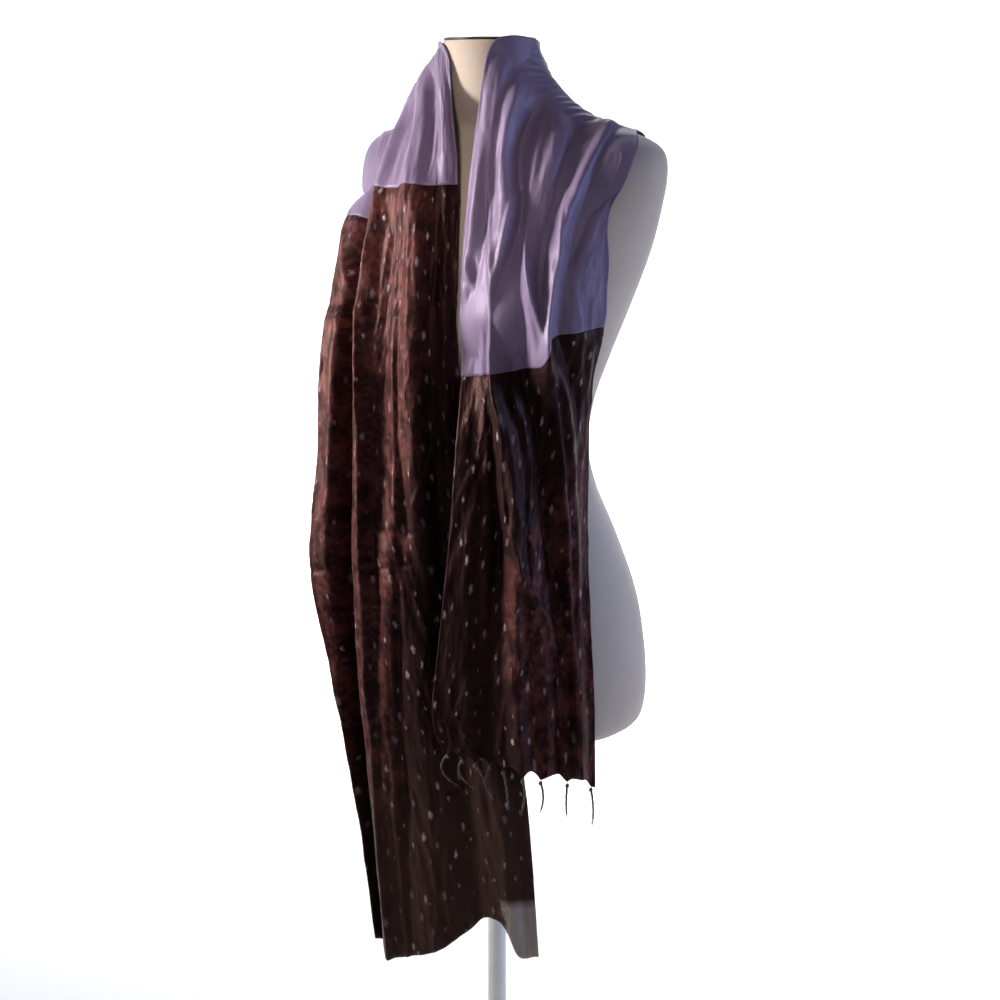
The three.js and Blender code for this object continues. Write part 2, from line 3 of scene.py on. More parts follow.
import bmesh
import bpy
import numpy as np
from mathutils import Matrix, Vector


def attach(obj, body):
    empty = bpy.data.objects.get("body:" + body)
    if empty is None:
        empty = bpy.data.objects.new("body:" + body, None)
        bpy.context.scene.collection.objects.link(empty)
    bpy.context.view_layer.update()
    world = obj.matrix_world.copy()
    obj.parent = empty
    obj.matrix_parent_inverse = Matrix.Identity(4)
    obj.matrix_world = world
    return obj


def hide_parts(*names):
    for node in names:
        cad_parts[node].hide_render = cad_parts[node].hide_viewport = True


# A long silk scarf with tie-dyed ends, hung round the neck of a limbless dress form.
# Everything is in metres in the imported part's frame: the form faces -Y, its left side is +X.
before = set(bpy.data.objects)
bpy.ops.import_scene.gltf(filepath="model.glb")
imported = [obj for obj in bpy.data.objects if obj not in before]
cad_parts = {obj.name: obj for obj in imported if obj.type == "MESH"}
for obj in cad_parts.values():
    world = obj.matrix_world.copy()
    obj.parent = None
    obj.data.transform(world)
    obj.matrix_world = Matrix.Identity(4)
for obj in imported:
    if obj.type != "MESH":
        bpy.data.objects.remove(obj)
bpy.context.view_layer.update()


# Camera
# It stands two metres away, a little to the form's left, at the height of the form's chest, and
# looks slightly down.
CAMERA_PLACE = (1.0625, -1.6944, 1.0833)
CAMERA_AIM = (0.0026, 0.0017, 0.680)
CAMERA_LENS = 70.6  # mm, for a picture 36 mm wide


def look_at(obj, target):
    direction = Vector(target) - obj.location
    obj.rotation_euler = direction.to_track_quat("-Z", "Y").to_euler()


bpy.ops.object.camera_add(location=CAMERA_PLACE)
camera = bpy.context.object
camera.name = "photo_camera"
camera.data.lens = CAMERA_LENS
camera.data.sensor_width = 36
look_at(camera, CAMERA_AIM)
bpy.context.scene.camera = camera


# Floor and light
# A white studio floor that curves up into a low wall all round, so every view has the same ground.
# A warm light with a grid stands in front on the form's right, and a weak one lights its neck. A
# cool one is on its left, where a window would be, one lights the floor behind it and two the wall.
FLOOR_COLOUR = (0.95, 0.95, 0.95, 1)
SKY_COLOUR = (0.78, 0.86, 1.0, 1)
SKY_STRENGTH = 0.12
LIGHTS = [
    # name, place, aim, size, watts, spread in degrees, colour
    ("key_light", (-1.78, -1.45, 1.4), (0.0, -0.1, 0.88), 0.75, 5.0, 31, (1.0, 0.93, 0.90)),
    ("neck_light", (0.8, -1.7, 1.25), (-0.01, -0.1, 1.0), 0.2, 0.07, 10, (1.0, 0.84, 0.80)),
    ("window_light", (2.3, 1.0, 1.2), (0.08, 0.0, 0.66), 0.9, 1.8, 40, (0.34, 0.50, 1.0)),
    ("floor_light", (-0.9, 1.9, 2.6), (-0.75, 1.5, 0.0), 1.4, 54, 95, (1.0, 1.0, 1.0)),
    ("wall_light_left", (-2.6, 1.6, 2.6), (-4.2, 4.6, 0.3), 1.6, 195, 180, (1.0, 1.0, 1.0)),
    ("wall_light_right", (0.2, 2.6, 2.6), (-1.6, 6.0, 0.3), 1.6, 195, 180, (1.0, 1.0, 1.0)),
]


def nothing_selected():
    if bpy.context.object and bpy.context.object.mode != "OBJECT":
        bpy.ops.object.mode_set(mode="OBJECT")
    bpy.ops.object.select_all(action="DESELECT")


def new_finish(name, roughness, specular=0.5):
    """A material with its nodes, and the shader that the finish is set on."""
    material = bpy.data.materials.new(name)
    material.use_nodes = True
    shader = material.node_tree.nodes["Principled BSDF"]
    shader.inputs["Roughness"].default_value = roughness
    shader.inputs["Specular IOR Level"].default_value = specular
    return material, material.node_tree, shader


def noise(tree, coordinates, scale, detail=3, stretch=(1, 1, 1)):
    """A noise texture's value, with its grain stretched by the mapping's scale."""
    mapping = tree.nodes.new("ShaderNodeMapping")
    mapping.inputs["Scale"].default_value = stretch
    tree.links.new(coordinates, mapping.inputs["Vector"])
    texture = tree.nodes.new("ShaderNodeTexNoise")
    texture.inputs["Scale"].default_value = scale
    texture.inputs["Detail"].default_value = detail
    tree.links.new(mapping.outputs["Vector"], texture.inputs["Vector"])
    return texture.outputs["Fac"]


def ramp(tree, value, stops):
    """A colour ramp through (position, colour) stops."""
    node = tree.nodes.new("ShaderNodeValToRGB")
    elements = node.color_ramp.elements
    while len(elements) < len(stops):
        elements.new(0.5)
    for element, (position, colour) in zip(elements, stops):
        element.position = position
        element.color = colour
    tree.links.new(value, node.inputs["Fac"])
    return node.outputs["Color"]


def grey(level):
    return (level, level, level, 1)


def maths(tree, operation, a, b=None, c=None):
    """A sum on numbers or on other nodes' values."""
    node = tree.nodes.new("ShaderNodeMath")
    node.operation = operation
    for socket, value in zip(node.inputs, (a, b, c)):
        if isinstance(value, (int, float)):
            socket.default_value = value
        elif value is not None:
            tree.links.new(value, socket)
    return node.outputs[0]


def blend(tree, share, first, second):
    """Colour first goes to second as share goes from 0 to 1."""
    node = tree.nodes.new("ShaderNodeMix")
    node.data_type = "RGBA"
    sockets = (node.inputs[0], node.inputs[6], node.inputs[7])
    for socket, value in zip(sockets, (share, first, second)):
        if isinstance(value, (int, float, tuple)):
            socket.default_value = value
        else:
            tree.links.new(value, socket)
    return node.outputs[2]


def bump(tree, height, depth, under=None):
    """A bump of that depth in metres, on top of another bump's normal."""
    node = tree.nodes.new("ShaderNodeBump")
    node.inputs["Distance"].default_value = depth
    tree.links.new(height, node.inputs["Height"])
    if under is not None:
        tree.links.new(under, node.inputs["Normal"])
    return node.outputs["Normal"]


def painted_floor():
    material, tree, shader = new_finish("studio_floor_paint", 0.9, 0.2)
    place = tree.nodes.new("ShaderNodeTexCoord").outputs["Object"]
    patches = noise(tree, place, 0.6)
    colour = blend(tree, patches, FLOOR_COLOUR, (0.90, 0.90, 0.90, 1))
    tree.links.new(colour, shader.inputs["Base Color"])
    return material


FLOOR_RADIUS = 5.0
FLOOR_SWEEP = 1.6  # radius of the curve from the floor to the wall
WALL_ABOVE = 1.2  # the straight wall above the curve
turns = [math.radians(90 * step / 8) for step in range(9)]
rises = [FLOOR_SWEEP * (math.cos(low) - math.cos(high)) for low, high in zip(turns, turns[1:])]
reaches = [FLOOR_RADIUS + FLOOR_SWEEP * math.sin(turn) for turn in turns]
rises.append(WALL_ABOVE)
reaches.append(reaches[-1])
nothing_selected()
bpy.ops.mesh.primitive_circle_add(vertices=96, radius=FLOOR_RADIUS, fill_type="NGON")
floor = bpy.context.object
floor.name = "studio_floor"
bpy.ops.object.mode_set(mode="EDIT")
for step, rise in enumerate(rises):
    bpy.ops.mesh.select_mode(type="EDGE")
    edit = bmesh.from_edit_mesh(floor.data)
    for edge in edit.edges:
        edge.select_set(edge.is_boundary)
    bmesh.update_edit_mesh(floor.data)
    bpy.ops.mesh.extrude_edges_move(TRANSFORM_OT_translate={"value": (0, 0, rise)})
    share = reaches[step + 1] / reaches[step]
    bpy.ops.transform.resize(value=(share, share, 1))
bpy.ops.object.mode_set(mode="OBJECT")
bpy.ops.object.shade_smooth()
floor.data.materials.append(painted_floor())

world = bpy.data.worlds.new("studio_air")
world.use_nodes = True
world.node_tree.nodes["Background"].inputs["Color"].default_value = SKY_COLOUR
world.node_tree.nodes["Background"].inputs["Strength"].default_value = SKY_STRENGTH
bpy.context.scene.world = world
bpy.context.scene.view_settings.view_transform = "Standard"

for name, place, aim, size, watts, spread, colour in LIGHTS:
    bpy.ops.object.light_add(type="AREA", location=place)
    light = bpy.context.object
    light.name = name
    light.data.shape = "DISK"
    light.data.size = size
    light.data.energy = watts
    light.data.spread = math.radians(spread)
    light.data.color = colour
    look_at(light, aim)


# Stand
# A turned steel plate and a steel tube that screws into it, both painted white. The tube carries
# the form, and goes up into its underside.
POLE_RADIUS = 0.010
POLE_FOOT = 0.0123
POLE_HEAD = 0.4497
BASE_RADIUS = 0.150
BASE_HEIGHT = 0.012
BASE_EDGE = 0.003
PAINT_COLOUR = (0.80, 0.80, 0.78, 1)


def white_paint():
    material, tree, shader = new_finish("stand_paint", 0.35)
    place = tree.nodes.new("ShaderNodeTexCoord").outputs["Object"]
    grime = ramp(tree, noise(tree, place, 30, 5), [(0.35, grey(0)), (0.75, grey(1))])
    colour = blend(tree, grime, PAINT_COLOUR, (0.72, 0.71, 0.69, 1))
    tree.links.new(colour, shader.inputs["Base Color"])
    peel = bump(tree, noise(tree, place, 700, 2), 0.00006)
    tree.links.new(peel, shader.inputs["Normal"])
    return material


def rounded_disc(name, radius, low, high, edge, sides, segments, back=0, oval=1):
    """A disc or tube with rounded edges. back moves its middle, oval is its depth for its width."""
    nothing_selected()
    bpy.ops.mesh.primitive_cylinder_add(
        vertices=sides, radius=radius, depth=high - low, location=(0, back, (low + high) / 2)
    )
    piece = bpy.context.object
    piece.name = name
    piece.scale.y = oval
    bpy.ops.object.transform_apply(location=True, rotation=True, scale=True)
    rounding = piece.modifiers.new("edges", "BEVEL")
    rounding.width = edge
    rounding.segments = segments
    rounding.limit_method = "ANGLE"
    rounding.angle_limit = math.radians(50)
    bpy.ops.object.modifier_apply(modifier="edges")
    bpy.ops.object.shade_smooth_by_angle(angle=math.radians(35))
    return piece


stand_paint = white_paint()
pole = rounded_disc("stand_tube", POLE_RADIUS, POLE_FOOT, POLE_HEAD, 0.0012, 48, 3)
plate = rounded_disc("stand_plate", BASE_RADIUS, 0, BASE_HEIGHT, BASE_EDGE, 128, 5)
for piece, node in ((pole, "stand_pole"), (plate, "stand_base")):
    piece.data.materials.append(stand_paint)
    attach(piece, "root")
    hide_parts(node)


# Dress form
# A limbless torso, padded over a hollow shell and covered in matt cream jersey that is pulled tight
# and turned in below. Sizes are in millimetres, with heights from DRESS_LEVEL above the floor.
DRESS_LEVEL = 90
# height, half width, depth in front, depth behind, how far back the widest line lies, outline power
FORM_RINGS = np.array([
    (360, 143, 94, 106, 4, 2.2), (368, 154, 102, 114, 4, 2.2), (395, 160, 106, 120, 4, 2.2),
    (440, 159, 105, 120, 3, 2.2), (500, 151, 100, 112, 0, 2.2), (560, 132, 92, 97, -3, 2.15),
    (615, 110, 84, 82, -6, 2.1), (655, 101, 82, 78, -6, 2.1), (700, 107, 86, 82, -5, 2.1),
    (745, 121, 92, 90, -1, 2.15), (800, 140, 98, 96, 8, 2.2), (850, 156, 98, 90, 18, 2.3),
    (895, 166, 90, 78, 26, 2.4), (930, 170, 78, 64, 32, 2.5), (950, 166, 66, 54, 33, 2.4),
    (962, 150, 56, 48, 30, 2.1), (972, 120, 50, 46, 24, 1.9), (982, 86, 47, 47, 14, 1.9),
    (994, 61, 47, 50, 3, 2.0), (1010, 50, 47, 49, -6, 2.0), (1035, 46, 45, 46, -11, 2.0),
    (1055, 46, 45, 45, -13, 2.0),
])
HIPS = 395  # the height of the widest line below the waist
BUST_X, BUST_Z = 70, 795
BUST_WIDE, BUST_ABOVE, BUST_BELOW, BUST_OUT = 44, 72, 46, 30
FORM_SIDES = 144
FORM_STEP = 5
JERSEY_COLOUR = (0.58, 0.48, 0.39, 1)
JERSEY_WORN = (0.49, 0.39, 0.31, 1)


def through_pairs(pairs, x):
    """A smooth curve through (x, y) pairs, level beyond both ends."""
    xs, ys = np.array(pairs, float).T
    last = len(xs) - 1
    before = np.maximum(np.arange(last + 1) - 1, 0)
    after = np.minimum(np.arange(last + 1) + 1, last)
    slopes = (ys[after] - ys[before]) / (xs[after] - xs[before])
    i = np.clip(np.searchsorted(xs, x, side="right") - 1, 0, last - 1)
    length = xs[i + 1] - xs[i]
    u = np.clip((x - xs[i]) / length, 0, 1)
    rise = (ys[i + 1] - ys[i]) * u * u * (3 - 2 * u)
    start = slopes[i] * length * u * (1 - u) ** 2
    end = slopes[i + 1] * length * u * u * (1 - u)
    return ys[i] + rise + start - end


RING_HEIGHTS = np.arange(FORM_RINGS[0, 0], FORM_RINGS[-1, 0] + 1)
RING_CURVES = [through_pairs(FORM_RINGS[:, [0, k]], RING_HEIGHTS) for k in range(1, 6)]


def ring_at(z):
    return [np.interp(z, RING_HEIGHTS, curve) for curve in RING_CURVES]


def bust_out(x, z):
    up = (z - BUST_Z) / np.where(z > BUST_Z, BUST_ABOVE, BUST_BELOW)
    across = np.exp(-(((x - BUST_X) / BUST_WIDE) ** 2)) + np.exp(-(((x + BUST_X) / BUST_WIDE) ** 2))
    return BUST_OUT * np.exp(-up * up) * across


def form_points(angles, z):
    """Points of the form's skin, at an angle round it and a height."""
    half, front, back, lean, power = ring_at(z)
    curve = lambda value: np.sign(value) * np.abs(value) ** (2 / power)
    x = half * curve(np.cos(angles))
    y = np.where(np.sin(angles) < 0, front, back) * curve(np.sin(angles)) + lean
    y = y - bust_out(x, z) * np.sqrt(np.maximum(-np.sin(angles), 0))
    return np.stack([x, y, z], -1)


def mesh_piece(name, points, faces, layout=None):
    """A new object through points in metres. layout gives each corner's place on the flat cloth."""
    mesh = bpy.data.meshes.new(name)
    mesh.from_pydata(points.reshape(-1, 3).tolist(), [], [list(face) for face in faces])
    if layout is not None:
        corners = np.array([loop.vertex_index for loop in mesh.loops])
        cut = mesh.uv_layers.new(name="cut")
        cut.data.foreach_set("uv", layout.reshape(-1, 2)[corners].ravel())
    mesh.shade_smooth()
    piece = bpy.data.objects.new(name, mesh)
    bpy.context.collection.objects.link(piece)
    nothing_selected()
    piece.select_set(True)
    bpy.context.view_layer.objects.active = piece
    return piece


def to_metres(points):
    return (points + np.array([0, 0, DRESS_LEVEL])) / 1000


def ring_faces(rings, sides):
    """The faces between closed rings of points, each ring listed after the one before it."""
    faces = []
    for j in range(rings - 1):
        for i in range(sides):
            a = j * sides + i
            b = j * sides + (i + 1) % sides
            faces.append((a, b, b + sides, a + sides))
    return faces


def make_torso():
    heights = np.arange(FORM_RINGS[0, 0], FORM_RINGS[-1, 0] + 0.1, FORM_STEP)
    angles = np.linspace(0, 2 * np.pi, FORM_SIDES, endpoint=False)
    z, turn = np.meshgrid(heights, angles, indexing="ij")
    skin = form_points(turn, z)
    low = skin[0].mean(axis=0)
    high = skin[-1].mean(axis=0)
    points = np.vstack([skin.reshape(-1, 3), low, high])
    faces = ring_faces(len(heights), FORM_SIDES)
    top = (len(heights) - 1) * FORM_SIDES
    count = len(heights) * FORM_SIDES
    for i in range(FORM_SIDES):
        nearby = (i + 1) % FORM_SIDES
        faces.append((count, nearby, i))
        faces.append((count + 1, top + i, top + nearby))
    return mesh_piece("form_padded_torso", to_metres(points), faces)


def cream_jersey():
    """Fine ribs of knitting over soft padding, with slight soiling and flecks in the yarn."""
    material, tree, shader = new_finish("form_cream_jersey", 0.9, 0.25)
    shader.inputs["Sheen Weight"].default_value = 0.25
    shader.inputs["Sheen Roughness"].default_value = 0.6
    place = tree.nodes.new("ShaderNodeTexCoord").outputs["Object"]
    soiling = ramp(tree, noise(tree, place, 7, 5), [(0.42, grey(0)), (0.72, grey(1))])
    colour = blend(tree, soiling, JERSEY_COLOUR, JERSEY_WORN)
    ribs = tree.nodes.new("ShaderNodeTexWave")
    ribs.bands_direction = "X"
    ribs.inputs["Scale"].default_value = 260
    ribs.inputs["Distortion"].default_value = 0.6
    ribs.inputs["Detail"].default_value = 2
    tree.links.new(place, ribs.inputs["Vector"])
    flecks = noise(tree, place, 900, 2)
    colour = blend(tree, maths(tree, "MULTIPLY", flecks, 0.18), colour, (0.55, 0.50, 0.45, 1))
    tree.links.new(colour, shader.inputs["Base Color"])
    knit = bump(tree, ribs.outputs["Fac"], 0.00004)
    padding = bump(tree, noise(tree, place, 16, 2), 0.0012, knit)
    tree.links.new(padding, shader.inputs["Normal"])
    return material


torso = make_torso()
torso.data.materials.append(cream_jersey())
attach(torso, "root")
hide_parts("form_torso")


# Neck plate
# A thin dark cap that closes the form's neck, moulded with a rounded rim and pressed on over the
# cut edge of the jersey.
PLATE_GAP = 0.3  # mm from the neck's end to the plate
PLATE_HEIGHT = 3.0  # mm from the neck's end to the plate's top
PLATE_RIM = 0.0009


def make_neck_plate():
    """An oval disc as wide and as deep as the neck's last ring."""
    top, half, depth, _, lean, _ = FORM_RINGS[-1]
    low, high = ((DRESS_LEVEL + top + rise) / 1000 for rise in (PLATE_GAP, PLATE_HEIGHT))
    return rounded_disc(
        "form_neck_cap", half / 1000, low, high, PLATE_RIM, 96, 3, lean / 1000, depth / half
    )


def dark_moulding():
    material, tree, shader = new_finish("neck_cap_moulding", 0.42)
    place = tree.nodes.new("ShaderNodeTexCoord").outputs["Object"]
    dust = ramp(tree, noise(tree, place, 120, 5), [(0.5, grey(0)), (0.85, grey(1))])
    colour = blend(tree, dust, (0.02, 0.017, 0.018, 1), (0.09, 0.08, 0.08, 1))
    tree.links.new(colour, shader.inputs["Base Color"])
    tree.links.new(bump(tree, noise(tree, place, 1500, 2), 0.00005), shader.inputs["Normal"])
    return material


neck_cap = make_neck_plate()
neck_cap.data.materials.append(dark_moulding())
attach(neck_cap, "root")
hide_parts("form_neck_plate")


# Lilac satin length
# The middle of the scarf: one length of lilac silk satin that comes up from the form's right chest,
# turns behind the neck and falls to its left waist. Its long edges have a narrow rolled hem.
CUT_WIDTH = 0.25
CLOTH_CLEARANCE = 2.8  # mm from the form's skin to the cloth
CLEARING_STEP = 0.5  # mm, over which the skin's slope is measured
CLEARING_ROUNDS = 20  # the cloth is moved clear of the form in this many small moves
CLEARING_MOVE = 12  # mm, the longest of them
FOLD_FADE = 0.8  # scarf rows over which a fold runs out

# The scarf's rows, from the long end's hem up over the form's right shoulder, behind the neck and
# down to the short end's hem. Each has the edge next to the neck, the middle and the outer edge.
SCARF_ROWS = np.array([
    ((103, -84, 139), (19, -118, 134), (-66, -143, 120)),  # long hem
    ((92, -90, 307), (3, -125, 301), (-84, -147, 291)),
    ((72, -98, 447), (-17, -133, 442), (-110, -149, 432)),
    ((49, -98, 551), (-33, -137, 547), (-131, -150, 537)),
    ((31, -99, 650), (-41, -137, 647), (-128, -139, 639)),
    ((18, -99, 739), (-44, -133, 736), (-129, -130, 730)),
    ((14, -95, 821), (-44, -122, 815), (-133, -109, 805)),
    ((4, -78, 917), (-48, -96, 914), (-142, -61, 908)),  # long seam
    ((-9, -65, 974), (-58, -60, 980), (-139, -12, 935)),
    ((-25, -51, 1046), (-77, -22, 1023), (-145, 26, 960)),
    ((-60, -14, 1054), (-80, 14, 1012), (-148, 54, 945)),
    ((-38, 26, 1048), (-58, 54, 990), (-100, 92, 905)),
    ((0, 37, 1043), (0, 64, 982), (0, 102, 870)),  # nape
    ((34, 20, 1046), (55, 44, 991), (104, 90, 915)),
    ((49, -9, 1056), (74, 12, 1002), (138, 36, 966)),
    ((26, -50, 1052), (80, -19, 984), (155, 6, 952)),
    ((21, -69, 979), (90, -50, 933), (154, -17, 918)),
    ((23, -87, 908), (94, -76, 881), (146, -32, 887)),
    ((22, -97, 826), (99, -94, 820), (144, -28, 821)),
    ((24, -105, 733), (97, -95, 745), (140, -26, 757)),  # short seam
    ((30, -124, 664), (101, -92, 676), (126, -25, 690)),
    ((28, -133, 576), (97, -95, 587), (125, -30, 603)),
    ((19, -139, 475), (94, -100, 487), (140, -50, 502)),
    ((14, -144, 398), (93, -104, 404), (147, -52, 411)),
    ((24, -140, 360), (95, -105, 338), (149, -52, 320)),  # short hem
], float)
LONG_SEAM = 7
SHORT_SEAM = 19
SHORT_HEM = 24

# Folds that run along the scarf: a path of (row, place across), with 0 the edge next to the neck
# and 1 the outer one, then the fold's half width and its height, negative for a trough.
FOLDS = [
    ([(0, 0.9), (1, 0.86), (2, 0.79), (3, 0.71), (5, 0.71), (7, 0.72), (8.2, 0.68)], 10, 8),
    ([(0, 0.97), (1, 0.94), (2, 0.88), (3, 0.81), (5, 0.8), (7, 0.81), (7.8, 0.8)], 10, -17),
    ([(0.8, 0.77), (1.5, 0.7), (2.3, 0.6), (3, 0.53), (3.8, 0.47)], 10, 7),
    ([(3, 0.33), (4.5, 0.34), (6, 0.36), (7.2, 0.42)], 12, 6),
    ([(2.2, 0.28), (3.5, 0.22), (6.6, 0.2)], 11, -7),
    ([(3.4, 0.56), (5, 0.54), (6.7, 0.56)], 11, -7),
    ([(0, 0.58), (1.2, 0.54), (2.6, 0.4)], 22, 6),
    ([(0, 0.33), (1, 0.33), (2.4, 0.3)], 13, -7),
    ([(0, 0.13), (1, 0.14), (2.2, 0.14)], 11, 6),
    ([(7.2, 0.12), (8.7, 0.14)], 9, 5),
    ([(7.2, 0.3), (8.7, 0.29)], 9, -6),
    ([(6.8, 0.46), (8, 0.43), (8.7, 0.42)], 10, 6),
    ([(7.2, 0.58), (8.5, 0.57)], 9, -5),
    ([(7.2, 0.9), (8.4, 0.88)], 9, 3),
    ([(10.9, 0.15), (12, 0.17), (13.2, 0.16)], 9, 7),
    ([(10.9, 0.31), (12, 0.32), (13.2, 0.31)], 9, -9),
    ([(10.9, 0.44), (12, 0.46), (13.2, 0.45)], 9, 9),
    ([(10.9, 0.58), (12, 0.59), (13.2, 0.58)], 10, -9),
    ([(10.9, 0.72), (12, 0.72), (13.2, 0.72)], 10, 7),
    ([(11, 0.85), (12, 0.86), (13.2, 0.85)], 10, -5),
    ([(15.1, 0.39), (16, 0.3), (17, 0.38), (18, 0.34), (19, 0.33)], 9, -15),
    ([(15.1, 0.235), (16, 0.19), (17, 0.26), (18, 0.22), (19, 0.21), (20, 0.31),
      (21, 0.41), (22, 0.45), (24, 0.5)], 10, 10),
    ([(15, 0.1), (16, 0.09), (17, 0.06), (18.4, 0.04)], 7, 5),
    ([(15.1, 0.545), (15.6, 0.52), (16.4, 0.48)], 9, 7),
    ([(15.1, 0.66), (15.6, 0.63), (16.4, 0.6)], 8, -8),
    ([(16.8, 0.4), (17.5, 0.43), (18, 0.47), (18.8, 0.54)], 8, 6),
    ([(16.4, 0.6), (17.4, 0.57), (18, 0.54)], 7, -7),
    ([(14.3, 0.84), (15.2, 0.79), (16, 0.72), (17, 0.68), (18.4, 0.61), (19, 0.6),
      (20, 0.72), (21, 0.82), (22, 0.87), (24, 0.9)], 9, 9),
    ([(15.4, 0.88), (17, 0.8), (18.4, 0.72), (19, 0.72), (20, 0.84)], 9, -8),
    ([(18.4, 0.42), (19, 0.45), (20, 0.54), (21, 0.64), (22, 0.76), (23, 0.79),
      (24, 0.8)], 10, -12),
    ([(18.4, 0.08), (20, 0.16), (21, 0.24), (22, 0.28), (24, 0.28)], 13, -7),
    ([(21.4, 0.53), (22, 0.6), (23, 0.66), (24, 0.68)], 10, 6),
]

# Finer and sharper creases, as the folds above.
CREASES = [
    ([(15.1, 0.05), (16, 0.05), (17.5, 0.035)], 5, 3),
    ([(15.5, 0.15), (16.5, 0.15), (17.6, 0.12)], 5, -3.5),
    ([(16.5, 0.07), (17.4, 0.075), (17.9, 0.06), (18.35, 0.225)], 3.5, 3.4),
    ([(16.4, 0.13), (16.9, 0.14), (17.7, 0.22), (18, 0.25)], 3.5, 3),
    ([(16.4, 0.33), (16.9, 0.31), (17.65, 0.28), (18, 0.255), (18.5, 0.25), (19, 0.245),
      (19.65, 0.27), (20.35, 0.275), (21, 0.34)], 3.2, 5.5),
    ([(17.8, 0.19), (18.5, 0.21), (19.2, 0.205)], 5, -5),
    ([(17.5, 0.03), (18, 0.12), (18.3, 0.2)], 4, -3),
    ([(18, 0.02), (18.3, 0.1), (18.55, 0.2)], 3, 2.4),
    ([(18.3, 0.02), (18.6, 0.09), (18.85, 0.17)], 3, 2.2),
    ([(15.2, 0.32), (16, 0.25), (17, 0.31), (18.6, 0.28)], 4, 3),
    ([(15.6, 0.42), (16.6, 0.4), (17.2, 0.42)], 5, 3.6),
    ([(17, 0.41), (17.4, 0.425), (17.96, 0.475), (18.56, 0.57), (18.9, 0.6)], 3, 4.4),
    ([(16.1, 0.635), (17, 0.65), (17.76, 0.66), (18.3, 0.63), (18.75, 0.6), (19.2, 0.605)], 3, 4.4),
    ([(17, 0.53), (18, 0.56), (18.5, 0.585)], 6, -4.5),
    ([(15.8, 0.63), (16.8, 0.64), (18.2, 0.64)], 5, -3),
    ([(15.1, 0.16), (15.9, 0.14)], 5, 2),
    ([(15.2, 0.6), (15.6, 0.58), (16.2, 0.54)], 5, 3),
    ([(15.2, 0.9), (15.8, 0.9), (16.6, 0.9)], 6, -4),
    ([(7.2, 0.06), (8.6, 0.07)], 5, 3),
    ([(7.2, 0.2), (8.6, 0.22)], 5, -3),
    ([(7, 0.36), (8.6, 0.36)], 5, 3),
    ([(7, 0.66), (8.2, 0.63)], 5, -4),
    ([(7.2, 0.94), (8.2, 0.94)], 6, 1.5),
    ([(10.8, 0.05), (12, 0.06), (13.2, 0.05)], 5, 2.5),
    ([(10.8, 0.23), (12.4, 0.24), (13.2, 0.23)], 5, 3),
    ([(10.8, 0.52), (12.6, 0.52), (13.2, 0.51)], 5, 3),
    ([(10.9, 0.65), (11.6, 0.66), (13, 0.65)], 5, -3),
    ([(10.9, 0.8), (11.8, 0.79), (13, 0.78)], 6, 2.5),
    ([(0, 0.965), (1, 0.94), (2, 0.88), (3, 0.81), (5, 0.8), (7.1, 0.81)], 7, -12),
    ([(0, 0.87), (0.75, 0.85), (1.5, 0.78), (1.9, 0.76), (2.6, 0.695), (4.1, 0.67), (5, 0.7),
      (6.2, 0.75)], 3, 4.6),
    ([(0, 0.76), (0.75, 0.735), (1.3, 0.685), (1.7, 0.63), (2.7, 0.52)], 3, 3.2),
    ([(5.7, 0.72), (6.35, 0.89), (6.8, 0.99)], 3.4, 3.2),
    ([(5.7, 0.735), (6.2, 0.735), (6.7, 0.68)], 3.4, 3),
    ([(3.5, 0.37), (4, 0.24), (4.45, 0.16)], 3, 2.6),
    ([(2.4, 0.5), (3.6, 0.34), (4.4, 0.29), (5.3, 0.28), (6.4, 0.31), (7, 0.35)], 20, 7),
    ([(3, 0.9), (5, 0.9), (6.8, 0.92)], 5, 3),
    ([(2.4, 0.63), (4, 0.63), (6.6, 0.64)], 5, -3.5),
    ([(3.4, 0.46), (5, 0.46), (6.8, 0.5)], 5, 3),
    ([(3, 0.4), (4.5, 0.41), (6.2, 0.43)], 5, -3),
    ([(4, 0.28), (5.4, 0.28), (6.8, 0.33)], 5, 2.6),
    ([(4.2, 0.12), (5.6, 0.1), (6.9, 0.12)], 6, 3),
    ([(1.2, 0.82), (2.2, 0.74), (3.2, 0.66)], 5, 3),
    ([(0.6, 0.7), (1.6, 0.62), (2.8, 0.5)], 6, -3),
    ([(0, 0.8), (1, 0.78), (1.8, 0.73)], 5, 2.5),
    ([(0.8, 0.24), (2, 0.22), (3.2, 0.18)], 6, 2.5),
    ([(19, 0.2), (19.7, 0.225), (20.4, 0.235), (21, 0.29), (21.6, 0.3)], 6, -6),
    ([(20.8, 0.33), (21.5, 0.345), (22.15, 0.41), (22.7, 0.49)], 5, -4.5),
    ([(20.8, 0.32), (21.4, 0.455), (21.65, 0.555), (22.05, 0.685), (22.6, 0.76)], 4, 5),
    ([(18.8, 0.6), (19.9, 0.635), (20.9, 0.75), (21.8, 0.81), (22.7, 0.85), (24, 0.88)], 3.2, 5),
    ([(19, 0.66), (19.9, 0.69), (20.9, 0.8), (21.8, 0.86), (22.7, 0.9)], 5, -4),
    ([(19.2, 0.12), (20.5, 0.2), (22, 0.26)], 5, 2.5),
    ([(19.2, 0.3), (20.4, 0.42), (21.6, 0.52)], 5, -3),
    ([(20.6, 0.46), (21.6, 0.54), (22.8, 0.58)], 5, 2.6),
    ([(21.8, 0.36), (22.8, 0.4), (24, 0.42)], 6, -2.6),
    ([(22.2, 0.16), (23, 0.2), (24, 0.2)], 6, 3),
    ([(21.8, 0.93), (22.8, 0.95), (24, 0.96)], 5, -2.5),
]

